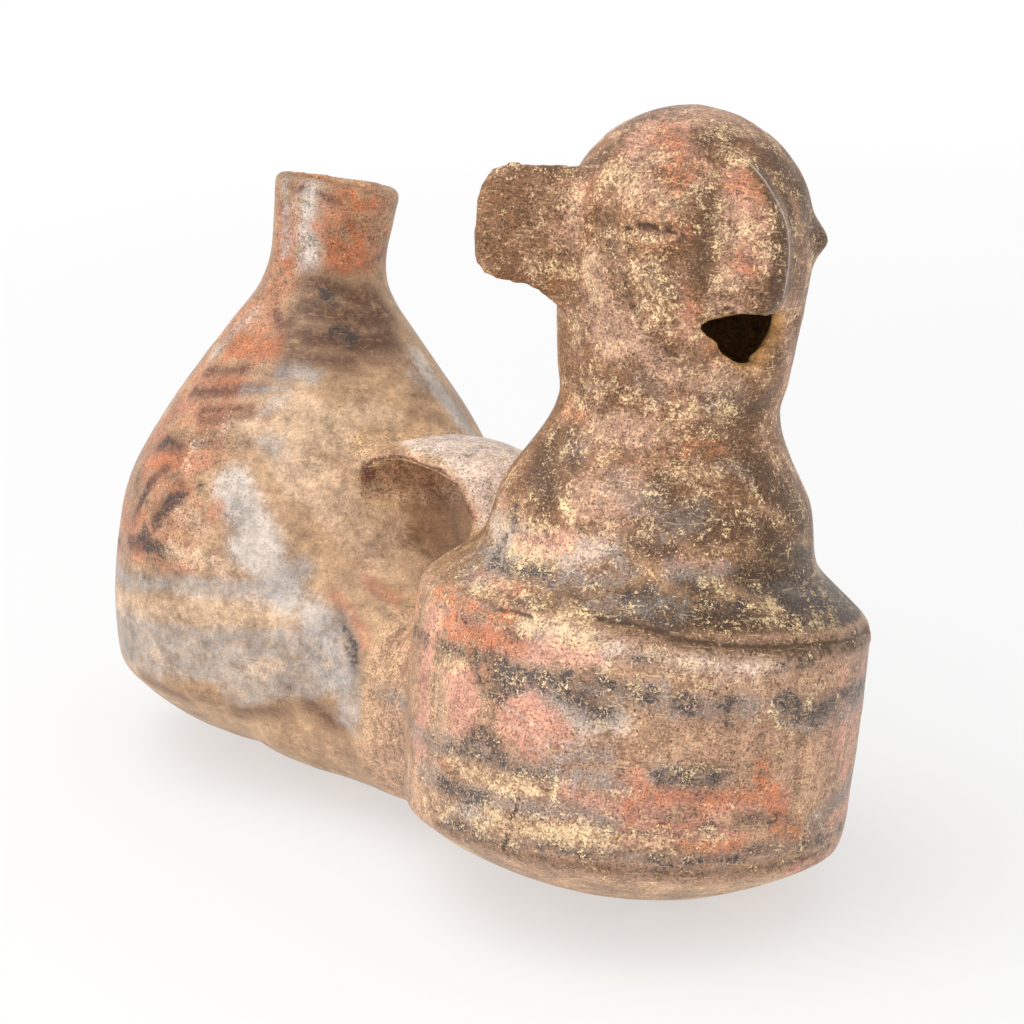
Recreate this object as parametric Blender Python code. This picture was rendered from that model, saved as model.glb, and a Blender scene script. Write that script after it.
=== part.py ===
"""A double-chambered whistling vessel of fired clay, with a head-shaped chamber in front and a spout behind.

The vessel is one piece of clay: a drum that carries a torso and a head with an open mouth, a bell-shaped
chamber that carries the spout, a wide conduit between them near the ground and a strap handle above it.
It is hollow, and both chambers, the conduit, the torso and the head share one space.
The forms are laid out upright on the drum's axis, with the figure facing -Y and the spout behind it at +Y.
The vessel then leans to the figure's left, as it rests on its round bottoms.
"""

import math

import bmesh
import bpy
from mathutils import Matrix, Vector

MM = 0.001

# Layout of the two chambers, and how the vessel rests
CHAMBER_SPACING = 144.5 * MM
REAR_SHIFT = 1.6 * MM
REAR_LIFT = 6 * MM
LEAN_DEG = 9.5
FLAT_DEPTH = 0.9 * MM

# Walls
WALL = 5.5 * MM
SPOUT_WALL = 4.0 * MM

# Front drum
DRUM_RADIUS = 62.5 * MM
DRUM_FOOT_RADIUS = 60.5 * MM
DRUM_FOOT_HEIGHT = 19.5 * MM
DRUM_HEIGHT = 81.5 * MM
SHOULDER_RISE = 13.5 * MM
DRUM_SIDE = ((0.4, 0.1), (1.0, 0.66), (0.88, 1.0))
SHOULDER_CURVE = ((0.09, 0.06), (0.48, 0.52), (0.91, 1.0))

# Torso and head, which stand on the drum's shoulder
TORSO_RADIUS = 44 * MM
TORSO_HEIGHT = 40 * MM
NECK_RADIUS = 30 * MM
TORSO_CURVE = ((0.0, 0.2), (0.14, 0.42), (0.7, 0.74), (1.0, 1.0))
HEAD_RADIUS = 33.4 * MM
HEAD_HEIGHT = 81 * MM
HEAD_SHIFT = (1.0 * MM, -0.8 * MM)
HEAD_CURVE = (
    (0.94, 0.09),
    (0.965, 0.2),
    (0.99, 0.32),
    (1.025, 0.46),
    (1.02, 0.6),
    (0.985, 0.69),
    (0.925, 0.765),
    (0.81, 0.835),
    (0.62, 0.91),
    (0.31, 0.974),
    (0.0, 1.0),
)

# Rear chamber and its spout
BELLY_RADIUS = 61.3 * MM
BELLY_HEIGHT = 47.5 * MM
REAR_FOOT_RADIUS = 58 * MM
REAR_FOOT_HEIGHT = 23.5 * MM
SPOUT_FOOT_HEIGHT = 147.5 * MM
SPOUT_LENGTH = 28.5 * MM
SPOUT_RADIUS = 17.7 * MM
RIM_RADIUS = 19.3 * MM
SPOUT_CURVE = ((0.0, 0.15), (0.5, 0.6), (1.0, 1.0))
SPOUT_SHIFT = (-2.1 * MM, 3.5 * MM)
SPOUT_BEND = (0.7 * MM, -0.7 * MM)
RIM_SLOPE = (-0.045, 0.04)
REAR_CORNER = (0.6, 0.5)
AXIS_TURNS_AT = 0.62
BELLY_CURVE = ((1.0, 0.0), (0.975, 0.25), (0.88, 0.4), (0.69, 0.56), (0.45, 0.715), (0.19, 0.87), (0.06, 0.95))

# Conduit between the chambers
CONDUIT_HALF_WIDTH = 33 * MM
CONDUIT_TOP = 68 * MM
CONDUIT_LIFT = 6.5 * MM
CONDUIT_SINK = 1.5 * MM
CONDUIT_SHIFT = -5 * MM
CONDUIT_SQUARENESS = 0.85
CONDUIT_STEPS = 20
CONDUIT_START = 0.55
SIDE_FILLET = 40 * MM
SADDLE_FILLET = 18 * MM
SADDLE_FILLET_SHARE = 0.95
SADDLE_HEIGHTS = (16 * MM, 92 * MM)
SADDLE_END = 0.2
SADDLE_OVERLAP = (1 * MM, 4 * MM)
SADDLE_ROUNDS = 110

# Strap handle over the gap
STRAP_WIDTH = 43 * MM
STRAP_THICKNESS = 5 * MM
STRAP_TOP = 113.5 * MM
STRAP_CROWN = 4.5 * MM
STRAP_FLARE = 0.3
STRAP_SQUARENESS = 0.55
STRAP_REAR_START = 0.55
STRAP_LINE = ((1.02, -0.15), (0.86, -0.06), (0.68, -0.01), (0.5, 0.0), (0.27, -0.02), (0.13, -0.065))
STRAP_FOOT = ((0.05, -0.125), (-0.01, -0.2), (-0.05, -0.28))

# Features of the head, by their angle from the front of the face
FACE_TURN_DEG = -5
NOSE_TURN_DEG = -4
NOSE_LEAN_DEG = -8
NOSE_REACH = 8 * MM
NOSE_HALF_WIDTH = 11 * MM
NOSE_FRONT_HALF_WIDTH = 2.8 * MM
NOSE_HEIGHTS = (0.83, 0.36)
NOSE_ROOT_WIDTH = 0.6
NOSE_ROOT_DEPTH = 0.8
NOSE_DEPTH_END = 0.35
NOSE_WIDTH_END = 0.6
NOSE_CORNER = 0.4
NOSE_ROOT_REACH = 0.5
NOSE_CURVE = (
    (-0.85, 0.0),
    (-0.4, 0.04),
    (0.15, 0.13),
    (0.72, 0.3),
    (0.95, 0.5),
    (1.0, 0.7),
    (0.93, 0.88),
    (0.6, 1.0),
)
EYE_TURN_DEG = 54
EYE_HEIGHT = 0.59
EYE_SIZE = (12 * MM, 7.5 * MM, 7.5 * MM)
EYE_PROUD = 4.1 * MM
RIGHT_EAR_TURN_DEG = -109
LEFT_EAR_TURN_DEG = 107
EAR_REACH = 27.5 * MM
EAR_HEIGHT = 34 * MM
EAR_THICKNESS = 6 * MM
EAR_FLARE_UP = 0.0
EAR_FLARE_DOWN = 0.3
EAR_SQUARENESS = 0.8
EAR_MIDDLE_HEIGHT = 0.562
EAR_ROOT_REACH = 0.8
EAR_ROOT_END = 0.4
EAR_ROOT_THICKNESS = 0.4
EAR_CORNERS = (6, 0.3)
EAR_EDGE = (8, 0.5)
MOUTH_TURN_DEG = -4
MOUTH_HEIGHT = 0.355
MOUTH_HALF_WIDTH = 15 * MM
MOUTH_DROP = 13.5 * MM
MOUTH_TOP = ((-1.18, 0.26), (-0.6, 0.11), (0.0, 0.02), (0.55, -0.02), (0.98, 0.02))
MOUTH_BOTTOM = ((0.92, 0.38), (0.62, 0.78), (0.24, 1.0), (-0.1, 1.0), (-0.6, 0.74), (-0.98, 0.44))
MOUTH_REACH = (0.3, 2.0)

# Fineness of the forms and of the finished surface
RING_SIDES = 72
BAND_SIDES = 28
BOWL_STEPS = 8
CURVE_STEPS = 4
NOSE_STEPS = 3
EAR_STEPS = 16
EYE_SEGMENTS = (24, 16)
CLAY_GRAIN = 1.2 * MM
HOLLOW_GRAIN = 2.4 * MM
OUTSIDE_ROUNDS = 6
HOLLOW_ROUNDS = 3
WALL_SHARE = 0.95
SPOUT_PASS = 0.3
OUTSIDE_FACES = 7400
HOLLOW_FACES = 2000
POLE = 0.01 * MM

GROUND_SIZE = (400 * MM, 600 * MM, 40 * MM)

CLAY_COLOUR = (0.33, 0.20, 0.13, 1.0)

# Heights and places that follow from the sizes
TORSO_Z = DRUM_HEIGHT + SHOULDER_RISE
NECK_Z = TORSO_Z + TORSO_HEIGHT
CROWN_Z = NECK_Z + HEAD_HEIGHT
RIM_Z = REAR_LIFT + SPOUT_FOOT_HEIGHT + SPOUT_LENGTH
FRONT_Y = -CHAMBER_SPACING / 2
REAR_Y = CHAMBER_SPACING / 2
NOSE_ROOT_Z = NECK_Z + NOSE_HEIGHTS[0] * HEAD_HEIGHT
NOSE_TIP_Z = NECK_Z + NOSE_HEIGHTS[1] * HEAD_HEIGHT
EYE_Z = NECK_Z + EYE_HEIGHT * HEAD_HEIGHT
EAR_Z = NECK_Z + EAR_MIDDLE_HEIGHT * HEAD_HEIGHT
MOUTH_Z = NECK_Z + MOUTH_HEIGHT * HEAD_HEIGHT


def clear_scene():
    for thing in list(bpy.data.objects):
        bpy.data.objects.remove(thing)


def ease(value, start, end):
    t = min(1.0, max(0.0, (value - start) / (end - start)))
    return t * t * (3 - 2 * t)


def curve_through(keys, steps=CURVE_STEPS):
    """Points of a smooth curve through the keys, with `steps` points to each stretch."""
    points = []
    last = len(keys) - 1
    for i in range(last):
        before = Vector(keys[max(i - 1, 0)])
        start = Vector(keys[i])
        end = Vector(keys[i + 1])
        after = Vector(keys[min(i + 2, last)])
        for k in range(steps):
            t = k / steps
            along = (end - before) * t
            bend = (2 * before - 5 * start + 4 * end - after) * t**2
            twist = (3 * start - 3 * end + after - before) * t**3
            points.append(start + 0.5 * (along + bend + twist))
    points.append(Vector(keys[last]))
    return points


def rounded(angle, power):
    """The cosine and sine of an angle on an outline between a circle and a box."""
    c, s = math.cos(angle), math.sin(angle)
    return math.copysign(abs(c) ** power, c), math.copysign(abs(s) ** power, s)


def bowl(radius, depth):
    """A shallow round bottom, as (radius, height) from its middle out to its corner."""
    ball = ball_radius(radius, depth)
    points = []
    for k in range(BOWL_STEPS + 1):
        r = radius * k / BOWL_STEPS
        points.append(Vector((r, ball - math.sqrt(ball**2 - r**2))))
    return points


def ball_radius(radius, depth):
    return (radius**2 + depth**2) / (2 * depth)


def add_loft(bm, rings):
    """A closed skin over rings with as many points each. A ring of one point is a pole, and open ends are capped."""
    rows = [[bm.verts.new(p) for p in ring] for ring in rings]
    for lower, upper in zip(rows, rows[1:]):
        count = max(len(lower), len(upper))
        for k in range(count):
            n = (k + 1) % count
            if len(lower) == 1:
                bm.faces.new((lower[0], upper[n], upper[k]))
            elif len(upper) == 1:
                bm.faces.new((lower[k], lower[n], upper[0]))
            else:
                bm.faces.new((lower[k], lower[n], upper[n], upper[k]))
    if len(rows[0]) > 1:
        bm.faces.new(list(reversed(rows[0])))
    if len(rows[-1]) > 1:
        bm.faces.new(rows[-1])
    bmesh.ops.recalc_face_normals(bm, faces=bm.faces)


def turned_rings(profile, centre, slope):
    """Rings of a turned form. centre(z) gives the axis at a height, and slope(z) the fall along X and Y."""
    rings = []
    for r, z in profile:
        middle = centre(z)
        if r < POLE:
            rings.append([Vector((middle.x, middle.y, z))])
            continue
        fall_x, fall_y = slope(z)
        ring = []
        for k in range(RING_SIDES):
            x, y = (r * part for part in rounded(2 * math.pi * k / RING_SIDES, 1))
            ring.append(Vector((middle.x + x, middle.y + y, z + fall_x * x + fall_y * y)))
        rings.append(ring)
    return rings


def figure_axis(z):
    """The drum's axis, and above the torso that of the head, which stands a little to one side."""
    t = ease(z, TORSO_Z, NECK_Z)
    return Vector((HEAD_SHIFT[0] * t, FRONT_Y + HEAD_SHIFT[1] * t))


def rear_axis(z):
    """The rear chamber's axis, which leads back and to the side towards the spout and bends again along it."""
    t = ease(z - REAR_LIFT, AXIS_TURNS_AT * SPOUT_FOOT_HEIGHT, SPOUT_FOOT_HEIGHT)
    up = ease(z, RIM_Z - SPOUT_LENGTH, RIM_Z)
    x = REAR_SHIFT + SPOUT_SHIFT[0] * t + SPOUT_BEND[0] * up
    return Vector((x, REAR_Y + SPOUT_SHIFT[1] * t + SPOUT_BEND[1] * up))


def level(z):
    return 0.0, 0.0


def rim_slope(z):
    t = ease(z, RIM_Z - SPOUT_LENGTH, RIM_Z)
    return RIM_SLOPE[0] * t, RIM_SLOPE[1] * t


def between(start, end, share):
    return start + (end - start) * share


def front_profile():
    """The front form from the middle of its bottom to its crown, as (radius, height)."""
    points = bowl(DRUM_FOOT_RADIUS, DRUM_FOOT_HEIGHT)
    for share, up in DRUM_SIDE:
        radius = between(DRUM_FOOT_RADIUS, DRUM_RADIUS, share)
        points.append(Vector((radius, between(DRUM_FOOT_HEIGHT, DRUM_HEIGHT, up))))
    keys = []
    for share, up in SHOULDER_CURVE:
        keys.append((between(DRUM_RADIUS, TORSO_RADIUS, share), DRUM_HEIGHT + up * SHOULDER_RISE))
    for share, up in TORSO_CURVE:
        keys.append((between(TORSO_RADIUS, NECK_RADIUS, share), TORSO_Z + up * TORSO_HEIGHT))
    for share, up in HEAD_CURVE:
        keys.append((share * HEAD_RADIUS, NECK_Z + up * HEAD_HEIGHT))
    return points + curve_through(keys)


def rear_profile():
    """The rear form from the middle of its bottom up to the spout's rim."""
    points = [p + Vector((0, REAR_LIFT)) for p in bowl(REAR_FOOT_RADIUS, REAR_FOOT_HEIGHT)]
    corner = between(REAR_FOOT_RADIUS, BELLY_RADIUS, REAR_CORNER[0])
    keys = [(corner, REAR_LIFT + between(REAR_FOOT_HEIGHT, BELLY_HEIGHT, REAR_CORNER[1]))]
    for share, up in BELLY_CURVE:
        height = between(BELLY_HEIGHT, SPOUT_FOOT_HEIGHT, up)
        keys.append((between(SPOUT_RADIUS, BELLY_RADIUS, share), REAR_LIFT + height))
    for share, up in SPOUT_CURVE:
        height = SPOUT_FOOT_HEIGHT + up * SPOUT_LENGTH
        keys.append((between(SPOUT_RADIUS, RIM_RADIUS, share), REAR_LIFT + height))
    return points + curve_through(keys)


def wall_at(z):
    """The rear form's wall, which is thinner in the spout."""
    spout_foot = REAR_LIFT + SPOUT_FOOT_HEIGHT
    return between(WALL, SPOUT_WALL, ease(z, spout_foot - 2 * SPOUT_RADIUS, spout_foot))


def clear_of(point, line, distance):
    for start, end in zip(line, line[1:]):
        along = end - start
        share = min(1.0, max(0.0, (point - start).dot(along) / along.length_squared))
        if (point - start - share * along).length < distance:
            return False
    return True


def taken_in(profile, wall):
    """The profile moved in by wall(z) all over, without the points that would fold over at its corners."""
    moved = []
    last = len(profile) - 1
    for k, point in enumerate(profile):
        along = (profile[min(k + 1, last)] - profile[max(k - 1, 0)]).normalized()
        inner = point + wall(point.y) * Vector((-along.y, along.x))
        if point.x < POLE:
            inner.x = 0.0
        if clear_of(inner, profile, WALL_SHARE * wall(point.y)):
            moved.append(inner)
    return moved


def fillet(along, radius, limit):
    """How far a hollow fillet has swung away from its straight side, a distance along it."""
    along = min(max(along, 0.0), limit)
    return radius - math.sqrt(radius**2 - along**2)


def add_conduit(bm, inset):
    """The wide conduit, which flows into the rear chamber with wide fillets at its sides and on its top."""
    start = FRONT_Y + CONDUIT_START * DRUM_RADIUS
    end = REAR_Y
    belly_and_fillet = BELLY_RADIUS + SIDE_FILLET
    side_reach = math.sqrt(belly_and_fillet**2 - (CONDUIT_HALF_WIDTH + SIDE_FILLET) ** 2)
    side_limit = side_reach * SIDE_FILLET / belly_and_fillet
    saddle_reach = BELLY_RADIUS + SADDLE_FILLET
    rings = []
    for k in range(CONDUIT_STEPS + 1):
        y = between(start, end, k / CONDUIT_STEPS)
        side = fillet(y - REAR_Y + side_reach, SIDE_FILLET, side_limit)
        saddle = fillet(y - REAR_Y + saddle_reach, SADDLE_FILLET, SADDLE_FILLET_SHARE * SADDLE_FILLET)
        half = CONDUIT_HALF_WIDTH + side - inset
        top = CONDUIT_TOP + saddle - inset
        low = inset + between(CONDUIT_LIFT, REAR_LIFT + CONDUIT_SINK, ease(y, REAR_Y - BELLY_RADIUS / 2, end))
        middle = between(CONDUIT_SHIFT, REAR_SHIFT, ease(y, REAR_Y - BELLY_RADIUS, end))
        ring = []
        for n in range(RING_SIDES):
            c, s = rounded(2 * math.pi * n / RING_SIDES, CONDUIT_SQUARENESS)
            ring.append(Vector((middle + half * c, y, (top + low) / 2 + (top - low) / 2 * s)))
        rings.append(ring)
    add_loft(bm, rings)


def add_strap(bm):
    """The strap handle, a crowned band from the rear chamber's front to the drum's shoulder behind the torso."""
    start = FRONT_Y + TORSO_RADIUS
    reach = REAR_Y - STRAP_REAR_START * BELLY_RADIUS - start
    keys = [(start + reach * along, STRAP_TOP * (1 + up)) for along, up in STRAP_LINE + STRAP_FOOT]
    line = curve_through(keys)
    rings = []
    for k, point in enumerate(line):
        ahead = line[min(k + 1, len(line) - 1)] - line[max(k - 1, 0)]
        up = Vector((ahead.y, -ahead.x)).normalized()
        rear = 1 - k / (len(line) - 1)
        wide = STRAP_WIDTH / 2 * (1 + STRAP_FLARE * rear**4)
        ring = []
        for n in range(BAND_SIDES):
            c, s = rounded(2 * math.pi * n / BAND_SIDES, STRAP_SQUARENESS)
            h = STRAP_THICKNESS / 2 * (s - 1) - STRAP_CROWN * c * c
            ring.append(Vector((wide * c, point.x + up.x * h, point.y + up.y * h)))
        rings.append(ring)
    add_loft(bm, rings)


def face_point(turn_deg, out, across, z):
    """A point by the head's axis: a distance out at an angle from the face's front, and one across it."""
    a = math.radians(FACE_TURN_DEG + turn_deg)
    x = out * math.sin(a) + across * math.cos(a)
    y = -out * math.cos(a) + across * math.sin(a)
    return Vector((HEAD_SHIFT[0] + x, FRONT_Y + HEAD_SHIFT[1] + y, z))


def add_nose(bm):
    """The large nose, a wedge with a blunt front from the forehead down to the mouth."""
    rings = []
    for reach, down in curve_through(NOSE_CURVE, NOSE_STEPS):
        z = between(NOSE_ROOT_Z, NOSE_TIP_Z, down)
        front = HEAD_RADIUS + NOSE_REACH * reach
        full = ease(down, 0.0, NOSE_WIDTH_END)
        spread = NOSE_HALF_WIDTH * between(NOSE_ROOT_WIDTH, 1.0, full)
        skin = HEAD_RADIUS * between(NOSE_ROOT_DEPTH, 1.0, ease(down, 0.0, NOSE_DEPTH_END))
        flank = math.sqrt(skin**2 - spread**2)
        root = NOSE_ROOT_REACH * HEAD_RADIUS
        narrow = NOSE_FRONT_HALF_WIDTH
        corner = NOSE_CORNER * narrow
        turn = NOSE_TURN_DEG + NOSE_LEAN_DEG * (1 - full)
        outline = [
            (-spread, root),
            (-spread, flank),
            (-narrow, front - corner / 2),
            (-corner, front),
            (corner, front),
            (narrow, front - corner / 2),
            (spread, flank),
            (spread, root),
        ]
        rings.append([face_point(turn, out, across, z) for across, out in outline])
    add_loft(bm, rings)


def add_eye(bm, turn):
    """A low mound for the eye, wider than it is tall."""
    place = Matrix.Translation(face_point(turn, HEAD_RADIUS + EYE_PROUD - EYE_SIZE[1], 0, EYE_Z))
    spin = Matrix.Rotation(math.radians(FACE_TURN_DEG + turn), 4, "Z")
    size = Matrix.Diagonal((*EYE_SIZE, 1.0))
    around, up = EYE_SEGMENTS
    bmesh.ops.create_uvsphere(bm, u_segments=around, v_segments=up, radius=1.0, matrix=place @ spin @ size)


def add_ear(bm, turn):
    """A flap of an ear, a plate with round corners that stands out from the side of the head."""
    rings = []
    for k in range(EAR_STEPS + 1):
        share = math.sin(0.5 * math.pi * k / EAR_STEPS)
        reach = between(EAR_ROOT_REACH * HEAD_RADIUS, HEAD_RADIUS + EAR_REACH, share)
        if k == EAR_STEPS:
            rings.append([face_point(turn, reach, 0, EAR_Z)])
            continue
        beyond = max(0.0, (reach - HEAD_RADIUS) / EAR_REACH)
        root = 1.0 - ease(beyond, 0.0, EAR_ROOT_END)
        tall = EAR_HEIGHT / 2 * (1 - beyond ** EAR_CORNERS[0]) ** EAR_CORNERS[1]
        thick = EAR_THICKNESS / 2 * (1 - beyond ** EAR_EDGE[0]) ** EAR_EDGE[1]
        thick *= 1 + EAR_ROOT_THICKNESS * root
        ring = []
        for n in range(BAND_SIDES):
            c, s = rounded(2 * math.pi * n / BAND_SIDES, EAR_SQUARENESS)
            flare = 1 + root * (EAR_FLARE_UP if s > 0 else EAR_FLARE_DOWN)
            ring.append(face_point(turn, reach, thick * c, EAR_Z + tall * flare * s))
        rings.append(ring)
    add_loft(bm, rings)


def add_object(name, bm):
    mesh = bpy.data.meshes.new(name)
    bm.to_mesh(mesh)
    bm.free()
    thing = bpy.data.objects.new(name, mesh)
    bpy.context.scene.collection.objects.link(thing)
    return thing


def melt(thing, grain, rounds):
    """Melts overlapping forms into one smooth skin, and softens it most where the conduit meets the chambers."""
    skin = thing.modifiers.new("skin", "REMESH")
    skin.mode = "VOXEL"
    skin.voxel_size = grain
    skin.use_smooth_shade = True
    bpy.context.view_layer.update()
    melted = bpy.data.meshes.new_from_object(thing.evaluated_get(bpy.context.evaluated_depsgraph_get()))
    thing.modifiers.remove(skin)
    bm = bmesh.new()
    bm.from_mesh(melted)
    for k in range(rounds):
        bmesh.ops.smooth_vert(bm, verts=bm.verts, factor=0.5, use_axis_x=True, use_axis_y=True, use_axis_z=True)
    near = [v for v in bm.verts if in_saddle(v.co)]
    for k in range(SADDLE_ROUNDS):
        bmesh.ops.smooth_vert(bm, verts=near, factor=0.5, use_axis_x=True, use_axis_y=True, use_axis_z=True)
    bm.to_mesh(thing.data)
    bm.free()


def in_saddle(p):
    """Whether a point lies on the soft passage from the drum over the conduit to the rear chamber."""
    from_rear = math.hypot(p.x - REAR_SHIFT, p.y - REAR_Y) - BELLY_RADIUS
    from_drum = math.hypot(p.x, p.y - FRONT_Y) - DRUM_RADIUS
    along = FRONT_Y < p.y < REAR_Y - SADDLE_END * BELLY_RADIUS
    level_with = SADDLE_HEIGHTS[0] < p.z < SADDLE_HEIGHTS[1]
    return along and level_with and from_drum > -SADDLE_OVERLAP[0] and from_rear > -SADDLE_OVERLAP[1]


def thin_to(thing, faces):
    """Keeps about so many triangles of a skin."""
    thin = thing.modifiers.new("thin", "DECIMATE")
    thin.ratio = faces / sum(len(face.vertices) - 2 for face in thing.data.polygons)


def cut(thing, cutter, name):
    cutter.hide_render = True
    cutter.display_type = "WIRE"
    step = thing.modifiers.new(name, "BOOLEAN")
    step.operation = "DIFFERENCE"
    step.object = cutter


def make_outside():
    bm = bmesh.new()
    add_loft(bm, turned_rings(front_profile(), figure_axis, level))
    add_loft(bm, turned_rings(rear_profile(), rear_axis, rim_slope))
    add_conduit(bm, 0)
    add_strap(bm)
    add_nose(bm)
    for turn in (-EYE_TURN_DEG, EYE_TURN_DEG):
        add_eye(bm, turn)
    for turn in (RIGHT_EAR_TURN_DEG, LEFT_EAR_TURN_DEG):
        add_ear(bm, turn)
    thing = add_object("whistling_vessel", bm)
    melt(thing, CLAY_GRAIN, OUTSIDE_ROUNDS)
    thin_to(thing, OUTSIDE_FACES)
    return thing


def make_hollow():
    """The space inside, which leaves at the spout's rim."""
    bm = bmesh.new()
    add_loft(bm, turned_rings(taken_in(front_profile(), lambda z: WALL), figure_axis, level))
    rear = taken_in(rear_profile(), wall_at)
    rear.append(rear[-1] + Vector((0, SPOUT_PASS * RIM_RADIUS)))
    add_loft(bm, turned_rings(rear, rear_axis, rim_slope))
    add_conduit(bm, WALL)
    thing = add_object("hollow", bm)
    melt(thing, HOLLOW_GRAIN, HOLLOW_ROUNDS)
    thin_to(thing, HOLLOW_FACES)
    return thing


def make_mouth():
    """The cutter of the open mouth, nearly straight along its top and round below."""
    bm = bmesh.new()
    rings = []
    for share in MOUTH_REACH:
        out = share * HEAD_RADIUS
        ring = []
        for across, down in MOUTH_TOP + MOUTH_BOTTOM:
            ring.append(face_point(MOUTH_TURN_DEG, out, MOUTH_HALF_WIDTH * across, MOUTH_Z - MOUTH_DROP * down))
        rings.append(ring)
    add_loft(bm, rings)
    return add_object("mouth_cutter", bm)


def make_ground():
    """The slab under the ground, which wears a small flat on each round bottom."""
    bm = bmesh.new()
    bmesh.ops.create_cube(bm, size=1.0)
    slab = add_object("ground_cutter", bm)
    slab.data.transform(Matrix.Diagonal((*GROUND_SIZE, 1.0)))
    slab.data.transform(Matrix.Translation((0, 0, -GROUND_SIZE[2] / 2)))
    return slab


def resting():
    """The move from upright to rest: leaned to the side, tipped back by the rear's lift, and down on the ground."""
    tip = Matrix.Rotation(-math.atan2(REAR_LIFT, CHAMBER_SPACING), 4, "X")
    lean = Matrix.Rotation(math.radians(LEAN_DEG), 4, "Y")
    ball = ball_radius(DRUM_FOOT_RADIUS, DRUM_FOOT_HEIGHT)
    lowest = (lean @ tip @ Vector((0, FRONT_Y, ball))).z - ball
    return Matrix.Translation((0, 0, -lowest - FLAT_DEPTH)) @ lean @ tip


def centring(vessel):
    """The move that brings the middle of the vessel's footprint over the origin."""
    bpy.context.view_layer.update()
    mesh = vessel.evaluated_get(bpy.context.evaluated_depsgraph_get()).to_mesh()
    xs = [v.co.x for v in mesh.vertices]
    ys = [v.co.y for v in mesh.vertices]
    return Matrix.Translation((-(min(xs) + max(xs)) / 2, -(min(ys) + max(ys)) / 2, 0))


def clay_material():
    material = bpy.data.materials.new("burnished_clay")
    material.use_nodes = True
    shader = material.node_tree.nodes["Principled BSDF"]
    shader.inputs["Base Color"].default_value = CLAY_COLOUR
    shader.inputs["Roughness"].default_value = 0.45
    shader.inputs["Metallic"].default_value = 0.0
    return material


def build():
    clear_scene()
    vessel = make_outside()
    hollow = make_hollow()
    mouth = make_mouth()
    ground = make_ground()
    for thing in (vessel, hollow, mouth):
        thing.data.transform(resting())
    to_middle = centring(vessel)
    for thing in (vessel, hollow, mouth):
        thing.data.transform(to_middle)
    cut(vessel, hollow, "hollow")
    cut(vessel, mouth, "mouth")
    cut(vessel, ground, "flats")
    vessel.data.materials.append(clay_material())


build()
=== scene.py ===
import math

import bmesh
import bpy
import numpy as np
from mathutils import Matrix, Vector


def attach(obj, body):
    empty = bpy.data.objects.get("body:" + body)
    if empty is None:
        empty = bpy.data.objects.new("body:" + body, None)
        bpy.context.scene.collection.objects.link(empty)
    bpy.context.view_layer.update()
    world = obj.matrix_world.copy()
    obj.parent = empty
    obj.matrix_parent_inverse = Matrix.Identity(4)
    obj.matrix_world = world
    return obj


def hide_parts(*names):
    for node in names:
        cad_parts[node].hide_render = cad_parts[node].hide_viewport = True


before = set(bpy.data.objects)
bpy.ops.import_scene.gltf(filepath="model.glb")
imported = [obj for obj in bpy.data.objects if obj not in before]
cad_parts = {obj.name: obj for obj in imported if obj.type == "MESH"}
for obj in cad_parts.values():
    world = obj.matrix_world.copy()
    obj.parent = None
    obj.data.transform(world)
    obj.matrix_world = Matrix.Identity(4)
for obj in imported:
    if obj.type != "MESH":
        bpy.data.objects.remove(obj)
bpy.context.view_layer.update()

mm = 0.001

# How the vessel rests: the figure's own frame is upright, with the drum's axis at drumY and the face towards -Y
rest = {
    "lean": math.radians(9.5),
    "tip": -math.atan2(6.0, 144.5),
    "shift": (-17.29, -2.01, -2.35),
    "drumY": -72.25,
    "rearY": 72.25,
    "rearX": 1.6,
}


def restTurn():
    # rows of the turn from the figure's own frame to the row's frame
    c, s = math.cos(rest["tip"]), math.sin(rest["tip"])
    tip = np.array([[1, 0, 0], [0, c, -s], [0, s, c]])
    c, s = math.cos(rest["lean"]), math.sin(rest["lean"])
    return np.array([[c, 0, s], [0, 1, 0], [-s, 0, c]]) @ tip


turn = restTurn()


def toUpright(points):
    return (points / mm - np.array(rest["shift"])) @ turn


def toRest(points):
    return (points @ turn.T + np.array(rest["shift"])) * mm


# Small number tools

def smooth(value, start, end):
    t = np.clip((value - start) / (end - start), 0.0, 1.0)
    return t * t * (3 - 2 * t)


tableSize = 4096
primes = (73856093, 19349663, 83492791)


def lattice(points, size, seed):
    # soft noise between -1 and 1 that changes over about `size` mm
    rng = np.random.default_rng(seed)
    table = rng.uniform(-1, 1, tableSize)
    p = points / size
    cell = np.floor(p).astype(np.int64)
    t = p - cell
    t = t * t * (3 - 2 * t)
    total = np.zeros(len(points))
    for corner in range(8):
        step = np.array([corner & 1, corner >> 1 & 1, corner >> 2])
        at = cell + step
        key = (at[:, 0] * primes[0] ^ at[:, 1] * primes[1] ^ at[:, 2] * primes[2]) % tableSize
        weight = np.prod(np.where(step == 1, t, 1 - t), axis=1)
        total += table[key] * weight
    return total


# The clay body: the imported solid, remade as a fine even skin and worked over

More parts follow.
